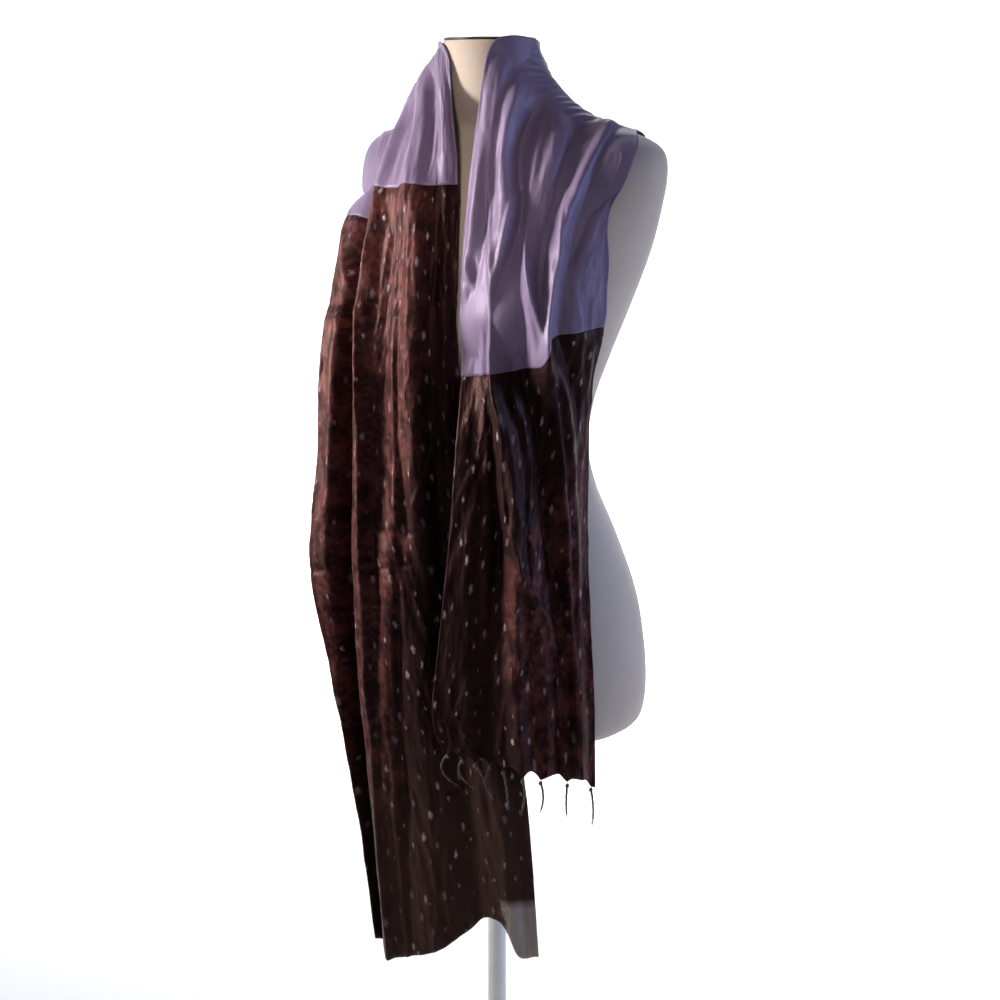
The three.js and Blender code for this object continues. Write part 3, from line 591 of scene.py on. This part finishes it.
# Creases pressed across the cloth: (row, place) where it starts and ends, half width and height.
PRESSED = [
    ((2.92, 0.86), (2.92, 1.0), 2.6, -1.6), ((3.31, 0.60), (3.28, 0.15), 2.6, -1.4),
    ((2.93, 0.72), (2.98, 0.40), 2.6, -1.5), ((22.45, 0.46), (22.64, 0.83), 2.8, -2.0),
    ((1.05, 0.35), (1.12, 0.75), 2.8, -1.0), ((20.5, 0.45), (20.54, 0.75), 2.8, -0.9),
]

# Where one pleat has slid along its neighbour: from row, to row, place, width, and how far the
# cloth outside it drops.
SLIPS = [(5.4, 9.0, 0.755, 0.07, 26), (17, 21.5, 0.6, 0.07, -25)]


def smoothstep(x):
    u = np.clip(x, 0, 1)
    return u * u * (3 - 2 * u)


def through_rows(values, t):
    """A smooth curve through equally spaced values, straight past both ends. t counts in values."""
    last = len(values) - 1
    i = np.clip(np.floor(t).astype(int), 0, last - 1)
    u = (t - i)[..., None]
    a, b = values[i], values[i + 1]
    before, after = values[np.maximum(i - 1, 0)], values[np.minimum(i + 2, last)]
    slope_a = np.where(i[..., None] > 0, (b - before) / 2, b - a)
    slope_b = np.where(i[..., None] + 2 <= last, (after - a) / 2, b - a)
    rise = (b - a) * u * u * (3 - 2 * u)
    between = a + rise + slope_a * u * (1 - u) ** 2 - slope_b * u * u * (1 - u)
    return np.where(u < 0, a + slope_a * u, np.where(u > 1, b + slope_b * (u - 1), between))


def plain_scarf(place, row):
    """The plain surface that the folds lie on: a parabola across through the row's three points."""
    s = place[..., None]
    inner, middle, outer = (through_rows(SCARF_ROWS[:, k], row) for k in range(3))
    return (1 - s) * (1 - 2 * s) * inner + 4 * s * (1 - s) * middle + s * (2 * s - 1) * outer


def plain_normal(place, row):
    step = 0.01
    across = plain_scarf(place + step, row) - plain_scarf(place - step, row)
    along = plain_scarf(place, row + step) - plain_scarf(place, row - step)
    normal = np.cross(along, across)
    return normal / np.linalg.norm(normal, axis=-1, keepdims=True)


def plain_width(row):
    edges = [plain_scarf(np.full_like(row, place), row) for place in (0, 0.5, 1)]
    halves = [np.linalg.norm(edges[k + 1] - edges[k], axis=-1) for k in range(2)]
    return halves[0] + halves[1]


def fold_height(folds, place, row, width):
    """The height of all folds. A fold fades in and out along the scarf, but not at a hem."""
    total = np.zeros_like(place)
    for path, wide, high in folds:
        start, end = path[0][0], path[-1][0]
        rising = 1 if start == 0 else smoothstep((row - start) / FOLD_FADE + 0.5)
        falling = 1 if end == SHORT_HEM else smoothstep((end - row) / FOLD_FADE + 0.5)
        away = (place - through_pairs(path, row)) * width / wide
        total += high * rising * falling * np.exp(-away * away)
    return total


def slip_drop(place, row):
    total = np.zeros_like(place)
    for start, end, where, wide, drop in SLIPS:
        middle = (start + end) / 2
        strength = smoothstep((1 - np.abs(row - middle) / (end - middle)) * 1.5)
        total += drop * strength * smoothstep((place - where) / wide + 0.5)
    return total


def form_level(points):
    """1 on the form's skin, less inside it, more outside. Below the hips it goes straight down."""
    x, y, z = np.moveaxis(points, -1, 0)
    half, front, back, lean, power = ring_at(np.maximum(z, HIPS))
    depth = y - lean
    depth = np.where(depth < 0, np.minimum(depth + bust_out(x, z), 0), depth)
    reach = np.where(depth < 0, front, back)
    return (np.abs(x / half) ** power + np.abs(depth / reach) ** power) ** (1 / power)


def clear_of_form(points, clearance):
    """Moves the cloth's points out until each is clear of the form."""
    for _ in range(CLEARING_ROUNDS):
        slope = np.stack([
            (form_level(points + axis) - form_level(points - axis)) / (2 * CLEARING_STEP)
            for axis in CLEARING_STEP * np.eye(3)
        ], -1)
        steepness = np.maximum(np.linalg.norm(slope, axis=-1), 1e-6)
        short = clearance - (form_level(points) - 1) / steepness
        if (short <= 0).all():
            break
        points = points + slope * (np.clip(short, 0, CLEARING_MOVE) / steepness)[..., None]
    return points


CRUMPLE_WAVES = 22
CRUMPLE_MEAN = 0.8


def crumple(across, along, short, long, seed):
    """Soft random creases, longer along the cloth than across it: about -2 to 2."""
    chance = np.random.default_rng(seed)
    total = np.zeros_like(across)
    for _ in range(CRUMPLE_WAVES):
        size = chance.uniform(0.6, 1.7)
        side = chance.choice([-1, 1])
        phase = chance.uniform(0, 2 * np.pi)
        waves = across / (short * size) + side * along / (long * size)
        total += np.sin(2 * np.pi * waves + phase)
    return total / np.sqrt(CRUMPLE_WAVES / 2)


# Crumples: height in the satin and in the dyed silk, width, length and seed, in millimetres.
CRUMPLES = [(0.55, 0.75, 26, 120, 11), (0.2, 0.25, 11, 40, 12)]


def dyed_share(row):
    """0 in the lilac satin and 1 in the dyed silk, which is stiffer and more crumpled."""
    after_long = smoothstep((row - LONG_SEAM) / 0.4 + 0.5)
    before_short = smoothstep((SHORT_SEAM - row) / 0.4 + 0.5)
    return 1 - after_long * before_short


# The length of the cloth's middle line up to each row, in millimetres.
LINE_ROWS = np.arange(-0.5, 24.6, 0.02)
MIDDLE_LINE = plain_scarf(np.full_like(LINE_ROWS, 0.5), LINE_ROWS)
LINE_STEPS = np.linalg.norm(np.diff(MIDDLE_LINE, axis=0), axis=-1)
LINE_LENGTHS = np.concatenate([[0], np.cumsum(LINE_STEPS)])


def length_at(row):
    return np.interp(row, LINE_ROWS, LINE_LENGTHS)


def rows_per_mm(row):
    return 0.1 / (length_at(row + 0.05) - length_at(row - 0.05))


def pressed_height(place, row):
    total = np.zeros_like(place)
    for (row_a, place_a), (row_b, place_b), wide, high in PRESSED:
        share = (place - place_a) / (place_b - place_a)
        within = smoothstep(share * 6 + 0.5) * smoothstep((1 - share) * 6 + 0.5)
        away = (length_at(row) - length_at(row_a + (row_b - row_a) * share)) / wide
        total += high * within * np.exp(-away * away)
    return total


def scarf_points(place, row, lift=0.0, clearance=CLOTH_CLEARANCE):
    """The cloth's own points in millimetres: its rows, folds, slips, fine creases and crumples."""
    width = plain_width(row)
    height = fold_height(FOLDS, place, row, width) + fold_height(CREASES, place, row, width)
    height = height + pressed_height(place, row)
    across = place * width
    for satin_high, dyed_high, short, long, seed in CRUMPLES:
        high = satin_high + (dyed_high - satin_high) * dyed_share(row)
        wave = crumple(across, length_at(row), short, long, seed)
        height = height + high * (CRUMPLE_MEAN - np.abs(wave))
    points = plain_scarf(place, row) + plain_normal(place, row) * (height + lift)[..., None]
    points[..., 2] -= slip_drop(place, row)
    return clear_of_form(points, clearance)


def cloth_piece(name, place, row, points, thickness, hem_thickness):
    """A thin cloth through a grid of points, thicker along its long edges, where it is rolled."""
    rows, columns = place.shape
    faces = []
    for j in range(rows - 1):
        for i in range(columns - 1):
            a = j * columns + i
            faces.append((a, a + columns, a + columns + 1, a + 1))
    layout = np.stack([place * CUT_WIDTH, length_at(row) / 1000], -1)
    piece = mesh_piece(name, to_metres(points), faces, layout)
    hem = piece.vertex_groups.new(name="hem")
    edges = [int(j * columns + i) for j in range(rows) for i in (0, 1, columns - 2, columns - 1)]
    hem.add(edges, 1.0, "REPLACE")
    shell = piece.modifiers.new("shell", "SOLIDIFY")
    shell.thickness = hem_thickness
    shell.offset = 0
    shell.vertex_group = "hem"
    shell.thickness_vertex_group = thickness / hem_thickness
    bpy.ops.object.modifier_apply(modifier="shell")
    return piece


LILAC_COLOUR = (0.178, 0.130, 0.212, 1)
LILAC_DEEP = (0.132, 0.096, 0.158, 1)


def woven_silk(tree, cut, crease_depth, slub_depth):
    """The bump of woven silk: fine crinkles, slubs along the thread, and the weave itself."""
    crinkles = noise(tree, cut, 90, 3, (1.0, 0.6, 1))
    slubs = noise(tree, cut, 1.0, 2, (1800, 60, 1))
    weave = noise(tree, cut, 1.0, 1, (2600, 2600, 1))
    normal = bump(tree, weave, 0.00004)
    normal = bump(tree, slubs, slub_depth, normal)
    return bump(tree, crinkles, crease_depth, normal)


def lilac_satin():
    material, tree, shader = new_finish("lilac_silk_satin", 0.46, 0.45)
    shader.inputs["Sheen Weight"].default_value = 0.35
    shader.inputs["Sheen Roughness"].default_value = 0.35
    shader.inputs["Sheen Tint"].default_value = (0.85, 0.78, 1.0, 1)
    shader.inputs["Specular Tint"].default_value = (0.86, 0.78, 1.0, 1)
    cut = tree.nodes.new("ShaderNodeTexCoord").outputs["UV"]
    patches = ramp(tree, noise(tree, cut, 9, 4), [(0.35, grey(0)), (0.7, grey(1))])
    colour = blend(tree, patches, LILAC_COLOUR, LILAC_DEEP)
    streaks = noise(tree, cut, 1.0, 3, (900, 25, 1))
    colour = blend(tree, maths(tree, "MULTIPLY", streaks, 0.2), colour, (0.36, 0.29, 0.45, 1))
    tree.links.new(colour, shader.inputs["Base Color"])
    tree.links.new(woven_silk(tree, cut, 0.0006, 0.00008), shader.inputs["Normal"])
    return material


def grid(first_row, last_row, columns, rows):
    """Places and rows of a cloth's grid. Each end is a row, or a function from place to row."""
    place = np.linspace(0, 1, columns)
    first = first_row(place) if callable(first_row) else np.full(columns, float(first_row))
    last = last_row(place) if callable(last_row) else np.full(columns, float(last_row))
    share = np.linspace(0, 1, rows)[:, None]
    return np.broadcast_to(place, (rows, columns)).copy(), first * (1 - share) + last * share


SILK_THICKNESS = 0.0005
HEM_THICKNESS = 0.0014
place, row = grid(LONG_SEAM, SHORT_SEAM, 141, 311)
points = scarf_points(place, row)
lilac = cloth_piece("scarf_lilac_satin", place, row, points, SILK_THICKNESS, HEM_THICKNESS)
lilac.data.materials.append(lilac_satin())
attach(lilac, "root")
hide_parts("scarf_lilac_right", "scarf_lilac_nape", "scarf_lilac_left")


# Long tie-dyed end
# A length of dark maroon silk, tied and dyed in small pale dots, sewn under the lilac with a narrow
# lap. It hangs to the form's right, and its hem rises in an arch to an undyed corner.
SEAM_LAP = 6  # mm of brown silk under the lilac
LAP_DEPTH = 1.0  # mm that it lies deeper there
LAP_SLOPE = 8  # mm over which it goes down to that depth
# where the long hem hangs higher than its row: (place across, lift in mm)
LONG_HEM_LIFTS = [
    (0, 0), (0.11, 1), (0.16, 26), (0.2, 36), (0.265, 40), (0.31, 37), (0.36, 29), (0.45, 19),
    (0.54, 9), (0.635, 3), (0.76, 0), (0.9, 0), (0.96, 5), (1, 14),
]
MAROON = (0.015, 0.0050, 0.0056, 1)
COPPER_BROWN = (0.092, 0.029, 0.026, 1)
HEM_BROWN = (0.034, 0.019, 0.014, 1)
# Painted shade: a near-black colour laid over the dyed ends' inner side, where they lie in shadow.
PAINTED_SHADE = (0.0055, 0.0022, 0.0028, 1)
# how far the painted shade reaches across from the inner edge: (row, place)
LONG_PAINTED_SHADE_REACH = [
    (1.3, 0.66), (1.72, 0.66), (2.62, 0.52), (3.62, 0.38), (4.34, 0.31), (5.25, 0.28), (7.2, 0.30),
]
DOT_COLOUR = (0.40, 0.30, 0.32, 1)
DOT_ACROSS, DOT_ALONG = 0.0185, 0.034  # m between one dot and the next
DOT_TURN = 47  # degrees from the cloth's width to the rows of dots
DOT_WANDER = 0.0045  # m, the most that a dot is pulled out of its place or shape
UNDYED = (0.34, 0.29, 0.26, 1)
UNDYED_FROM, UNDYED_SIZE = 0.085, 0.062  # m along the cloth to the corner, and its size


def cut_axes(tree, cut):
    """The places across the flat cloth and along it, in metres."""
    axes = tree.nodes.new("ShaderNodeSeparateXYZ")
    tree.links.new(cut, axes.inputs["Vector"])
    return axes.outputs["X"], axes.outputs["Y"]


def painted_shade_mask(tree, cut, reach):
    """1 where shade is painted in: from the inner edge across to the (row, place) points."""
    across, along = cut_axes(tree, cut)
    lengths = [length_at(row) / 1000 for row, _ in reach]
    share = tree.nodes.new("ShaderNodeMapRange")
    share.inputs["From Min"].default_value = lengths[0]
    share.inputs["From Max"].default_value = lengths[-1]
    tree.links.new(along, share.inputs["Value"])
    stops = [
        ((length - lengths[0]) / (lengths[-1] - lengths[0]), grey(place))
        for length, (_, place) in zip(lengths, reach)
    ]
    edge = ramp(tree, share.outputs["Result"], stops)
    inside = maths(tree, "SUBTRACT", edge, maths(tree, "DIVIDE", across, CUT_WIDTH))
    uneven = maths(tree, "MULTIPLY_ADD", noise(tree, cut, 25, 3), 0.25, inside)
    return ramp(tree, uneven, [(0.07, grey(0)), (0.20, grey(0.95))])


def tied_dots(tree, cut):
    """A lattice of dots, no two alike: the distance from the nearest, and how pale it is there."""
    wander = tree.nodes.new("ShaderNodeTexNoise")
    wander.inputs["Scale"].default_value = 260
    wander.inputs["Detail"].default_value = 1
    tree.links.new(cut, wander.inputs["Vector"])
    pulled = tree.nodes.new("ShaderNodeVectorMath")
    pulled.operation = "MULTIPLY_ADD"
    pulled.inputs[1].default_value = (DOT_WANDER, DOT_WANDER, 0)
    tree.links.new(wander.outputs["Color"], pulled.inputs[0])
    tree.links.new(cut, pulled.inputs[2])
    lattice = tree.nodes.new("ShaderNodeMapping")
    lattice.inputs["Rotation"].default_value = (0, 0, math.radians(DOT_TURN))
    lattice.inputs["Scale"].default_value = (1 / DOT_ACROSS, 1 / DOT_ALONG, 1)
    tree.links.new(pulled.outputs["Vector"], lattice.inputs["Vector"])
    dots = tree.nodes.new("ShaderNodeTexVoronoi")
    dots.voronoi_dimensions = "2D"
    dots.inputs["Scale"].default_value = 1
    dots.inputs["Randomness"].default_value = 0.75
    tree.links.new(lattice.outputs["Vector"], dots.inputs["Vector"])
    distance = dots.outputs["Distance"]
    chance = tree.nodes.new("ShaderNodeSeparateColor")
    tree.links.new(dots.outputs["Color"], chance.inputs["Color"])
    smaller = maths(tree, "MULTIPLY_ADD", chance.outputs[1], 0.9, 0.6)
    sized = maths(tree, "MULTIPLY", distance, smaller)
    rings = [(0.0, grey(0.8)), (0.04, grey(1)), (0.07, grey(0.6)), (0.12, grey(0))]
    strength = maths(tree, "MULTIPLY_ADD", maths(tree, "POWER", chance.outputs[0], 1.8), 0.85, 0.15)
    return distance, maths(tree, "MULTIPLY", ramp(tree, sized, rings), strength)


def thin_dye(tree, cut):
    """1 near the long hem, where the dye is thinner and browner."""
    along = cut_axes(tree, cut)[1]
    return ramp(tree, along, [(0.22, grey(0.8)), (0.34, grey(0))])


def bare_corner(tree, cut):
    """1 in the corner of the long hem that the dye didn't reach."""
    across, along = cut_axes(tree, cut)
    uneven = maths(tree, "MULTIPLY", noise(tree, cut, 60, 3), 0.03)
    side = maths(tree, "DIVIDE", maths(tree, "ADD", across, uneven), UNDYED_SIZE)
    rise = maths(tree, "DIVIDE", maths(tree, "SUBTRACT", along, UNDYED_FROM), UNDYED_SIZE)
    return ramp(tree, maths(tree, "MAXIMUM", side, rise), [(0.82, grey(1)), (1.0, grey(0))])


def tie_dyed_silk(name, shade_reach, long_hem_dye):
    """Mottled maroon silk with small tied dots, each a pale ring with a drawn-up point."""
    material, tree, shader = new_finish(name, 0.48, 0.26)
    shader.inputs["Sheen Weight"].default_value = 0.10
    shader.inputs["Sheen Roughness"].default_value = 0.3
    shader.inputs["Sheen Tint"].default_value = (1.0, 0.50, 0.42, 1)
    shader.inputs["Specular Tint"].default_value = (1.0, 0.46, 0.40, 1)
    cut = tree.nodes.new("ShaderNodeTexCoord").outputs["UV"]
    distance, spots = tied_dots(tree, cut)
    fine = maths(tree, "MULTIPLY", noise(tree, cut, 150, 3), 0.4)
    patchy = maths(tree, "MULTIPLY_ADD", noise(tree, cut, 45, 3), 0.6, fine)
    mottle = ramp(tree, patchy, [(0.43, grey(0)), (0.60, grey(1))])
    colour = blend(tree, mottle, MAROON, COPPER_BROWN)
    # Painted shade: near-black from the inner edge out to the listed places, standing in for
    # shadow.
    colour = blend(tree, painted_shade_mask(tree, cut, shade_reach), colour, PAINTED_SHADE)
    if long_hem_dye:
        colour = blend(tree, thin_dye(tree, cut), colour, HEM_BROWN)
    colour = blend(tree, spots, colour, DOT_COLOUR)
    if long_hem_dye:
        colour = blend(tree, bare_corner(tree, cut), colour, UNDYED)
    tree.links.new(colour, shader.inputs["Base Color"])
    points_up = ramp(tree, distance, [(0.0, grey(1)), (0.10, grey(0.55)), (0.40, grey(0))])
    drawn = bump(tree, points_up, 0.0012, woven_silk(tree, cut, 0.0011, 0.00006))
    tree.links.new(drawn, shader.inputs["Normal"])
    return material


def long_hem(place):
    return through_pairs(LONG_HEM_LIFTS, place) * rows_per_mm(0.5)


def lap_under(row, seam, side):
    """How far the brown silk lies under the lilac, near the seam. side is 1 above it, -1 below."""
    past = (row - seam) * side / rows_per_mm(seam)
    return -LAP_DEPTH * smoothstep((past + LAP_SLOPE) / LAP_SLOPE)


place, row = grid(long_hem, LONG_SEAM + SEAM_LAP * rows_per_mm(LONG_SEAM), 131, 291)
lift = lap_under(row, LONG_SEAM, 1)
points = scarf_points(place, row, lift, CLOTH_CLEARANCE - LAP_DEPTH)
long_end = cloth_piece("scarf_long_end", place, row, points, SILK_THICKNESS, HEM_THICKNESS)
long_end.data.materials.append(tie_dyed_silk("maroon_tie_dye_long", LONG_PAINTED_SHADE_REACH, True))
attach(long_end, "root")
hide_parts("scarf_end_long")


# Short tie-dyed end
# The second dyed length hangs over the first on the form's left. Its hem is drawn down by nine
# knotted tassels, and rises in a small arch between two of them.
SCALLOP = 7  # mm that the hem rises between two tassels
# how far the painted shade reaches across from the inner edge: (row, place)
SHORT_PAINTED_SHADE_REACH = [
    (18.8, 1.2), (20.1, 1.1), (20.7, 0.75), (21.1, 0.45), (21.5, 0.36), (22.15, 0.42), (22.6, 0.48),
    (24, 0.54),
]
# place across, how low the tip hangs, how far it swings outwards along the hem, its sideways bow
TASSELS = [
    (0.03, 33, 10, -9), (0.12, 30, 12, -6), (0.20, 32, 14, 5), (0.29, 36, 4, -5), (0.38, 40, 5, 2),
    (0.50, 38, -3, 3), (0.62, 36, -1, 3), (0.82, 39, 0, -1), (0.97, 41, 2, 2),
]


def short_hem(place):
    roots = np.array([tassel[0] for tassel in TASSELS])
    after = np.clip(np.searchsorted(roots, place), 1, len(roots) - 1)
    share = np.clip((place - roots[after - 1]) / (roots[after] - roots[after - 1]), 0, 1)
    return SHORT_HEM - SCALLOP * np.sin(np.pi * share) * rows_per_mm(SHORT_HEM - 0.2)


place, row = grid(SHORT_SEAM - SEAM_LAP * rows_per_mm(SHORT_SEAM), short_hem, 131, 175)
lift = lap_under(row, SHORT_SEAM, -1)
points = scarf_points(place, row, lift, CLOTH_CLEARANCE - LAP_DEPTH)
short_end = cloth_piece("scarf_short_end", place, row, points, SILK_THICKNESS, HEM_THICKNESS)
short_end.data.materials.append(tie_dyed_silk("maroon_tie_dye_short", SHORT_PAINTED_SHADE_REACH, False))
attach(short_end, "root")
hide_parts("scarf_end_short")


# Fringe
# Each tassel is a bundle of the cloth's own threads, knotted under the hem and twisted, with its
# last millimetres left loose.
TASSEL_RADIUS = 1.25  # mm, as KNOT_RADIUS and LOOSE_SPREAD
KNOT_RADIUS = 2.1
STRAND_SIDES = 12
STRAND_STEPS = 26
STRAND_BOUND = 0.86  # the share of a tassel above its loose ends
TASSEL_BELOW = 0.6  # mm from the hem to a tassel's root
KNOT_MIDDLE, KNOT_HALF = 2.4, 2.3  # mm below the root, and half the knot's height
LOOSE_THREADS = 5
LOOSE_SPREAD = (2.2, 2.2, 1.0)


def tube(path, radii, lobes=0, turns=0.0, depth=0.0, sides=STRAND_SIDES):
    """Points and faces of a round strand along a path, with lobes that wind round it."""
    count = len(path)
    along = np.gradient(path, axis=0)
    along /= np.linalg.norm(along, axis=1, keepdims=True)
    side = np.cross(along, [0.0, 1.0, 0.0])
    side /= np.linalg.norm(side, axis=1, keepdims=True)
    front = np.cross(along, side)
    angle = np.linspace(0, 2 * np.pi, sides, endpoint=False)[None, :]
    share = np.linspace(0, 1, count)[:, None]
    wound = np.cos(lobes * angle + 2 * np.pi * turns * share)
    reach = np.asarray(radii)[:, None] * (1 + depth * wound)
    sideways = side[:, None] * (reach * np.cos(angle))[..., None]
    forwards = front[:, None] * (reach * np.sin(angle))[..., None]
    points = (path[:, None] + (sideways + forwards)).reshape(-1, 3)
    faces = ring_faces(count, sides)
    faces += [tuple(range(sides - 1, -1, -1)), tuple((count - 1) * sides + i for i in range(sides))]
    return points, faces


def tassel_parts(where, fall, swing, curl, chance):
    """The knot, the twisted strand and the loose ends of one tassel."""
    hem = short_hem(np.array([where]))
    spot = np.array([where])
    root = scarf_points(spot, hem + TASSEL_BELOW * rows_per_mm(SHORT_HEM))[0]
    beside = scarf_points(spot + 0.03, hem)[0]
    outwards = (beside - root) * [1, 1, 0]
    outwards /= np.linalg.norm(outwards)
    share = np.linspace(0, 1, STRAND_STEPS)
    sideways = swing * share ** 2 + curl * np.sin(np.pi * share)
    path = root + outwards * sideways[:, None] + np.array([0, 0, -1]) * (fall * share)[:, None]
    knot_share = np.linspace(-1, 1, 9)
    knot_path = root + np.array([0, 0, -1]) * (KNOT_MIDDLE + KNOT_HALF * knot_share)[:, None]
    knot_radii = KNOT_RADIUS * np.sqrt(np.maximum(1 - knot_share ** 2, 0.05))
    body = path[: int(STRAND_STEPS * STRAND_BOUND)]
    radii = TASSEL_RADIUS * (1 - 0.25 * np.linspace(0, 1, len(body)))
    parts = [
        tube(knot_path, knot_radii, 3, 1.2, 0.14),
        tube(body, radii, 3, fall / 9, 0.2),
    ]
    for _ in range(LOOSE_THREADS):
        spread = chance.uniform(-1, 1, 3) * LOOSE_SPREAD
        tail = np.linspace(0, 1, 6)[:, None]
        thread = body[-2] + (path[-1] - body[-2]) * tail + spread * tail ** 1.5
        parts.append(tube(thread, np.linspace(0.32, 0.12, 6), sides=5))
    return parts


def make_fringe():
    chance = np.random.default_rng(5)
    points, faces, count = [], [], 0
    for tassel in TASSELS:
        for part_points, part_faces in tassel_parts(*tassel, chance):
            faces += [tuple(index + count for index in face) for face in part_faces]
            points.append(part_points)
            count += len(part_points)
    piece = mesh_piece("scarf_tassels", to_metres(np.vstack(points)), faces)
    bpy.ops.object.mode_set(mode="EDIT")
    bpy.ops.mesh.select_all(action="SELECT")
    bpy.ops.mesh.normals_make_consistent(inside=False)
    bpy.ops.object.mode_set(mode="OBJECT")
    return piece


def thread_silk():
    material, tree, shader = new_finish("maroon_thread", 0.5, 0.5)
    shader.inputs["Sheen Weight"].default_value = 0.4
    shader.inputs["Sheen Tint"].default_value = (0.8, 0.6, 0.6, 1)
    place = tree.nodes.new("ShaderNodeTexCoord").outputs["Object"]
    strands = noise(tree, place, 1.0, 2, (1600, 1600, 250))
    colour = blend(tree, strands, (0.022, 0.015, 0.019, 1), (0.075, 0.055, 0.066, 1))
    tree.links.new(colour, shader.inputs["Base Color"])
    tree.links.new(bump(tree, strands, 0.0002), shader.inputs["Normal"])
    return material


fringe = make_fringe()
fringe.data.materials.append(thread_silk())
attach(fringe, "root")
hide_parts("scarf_fringe")
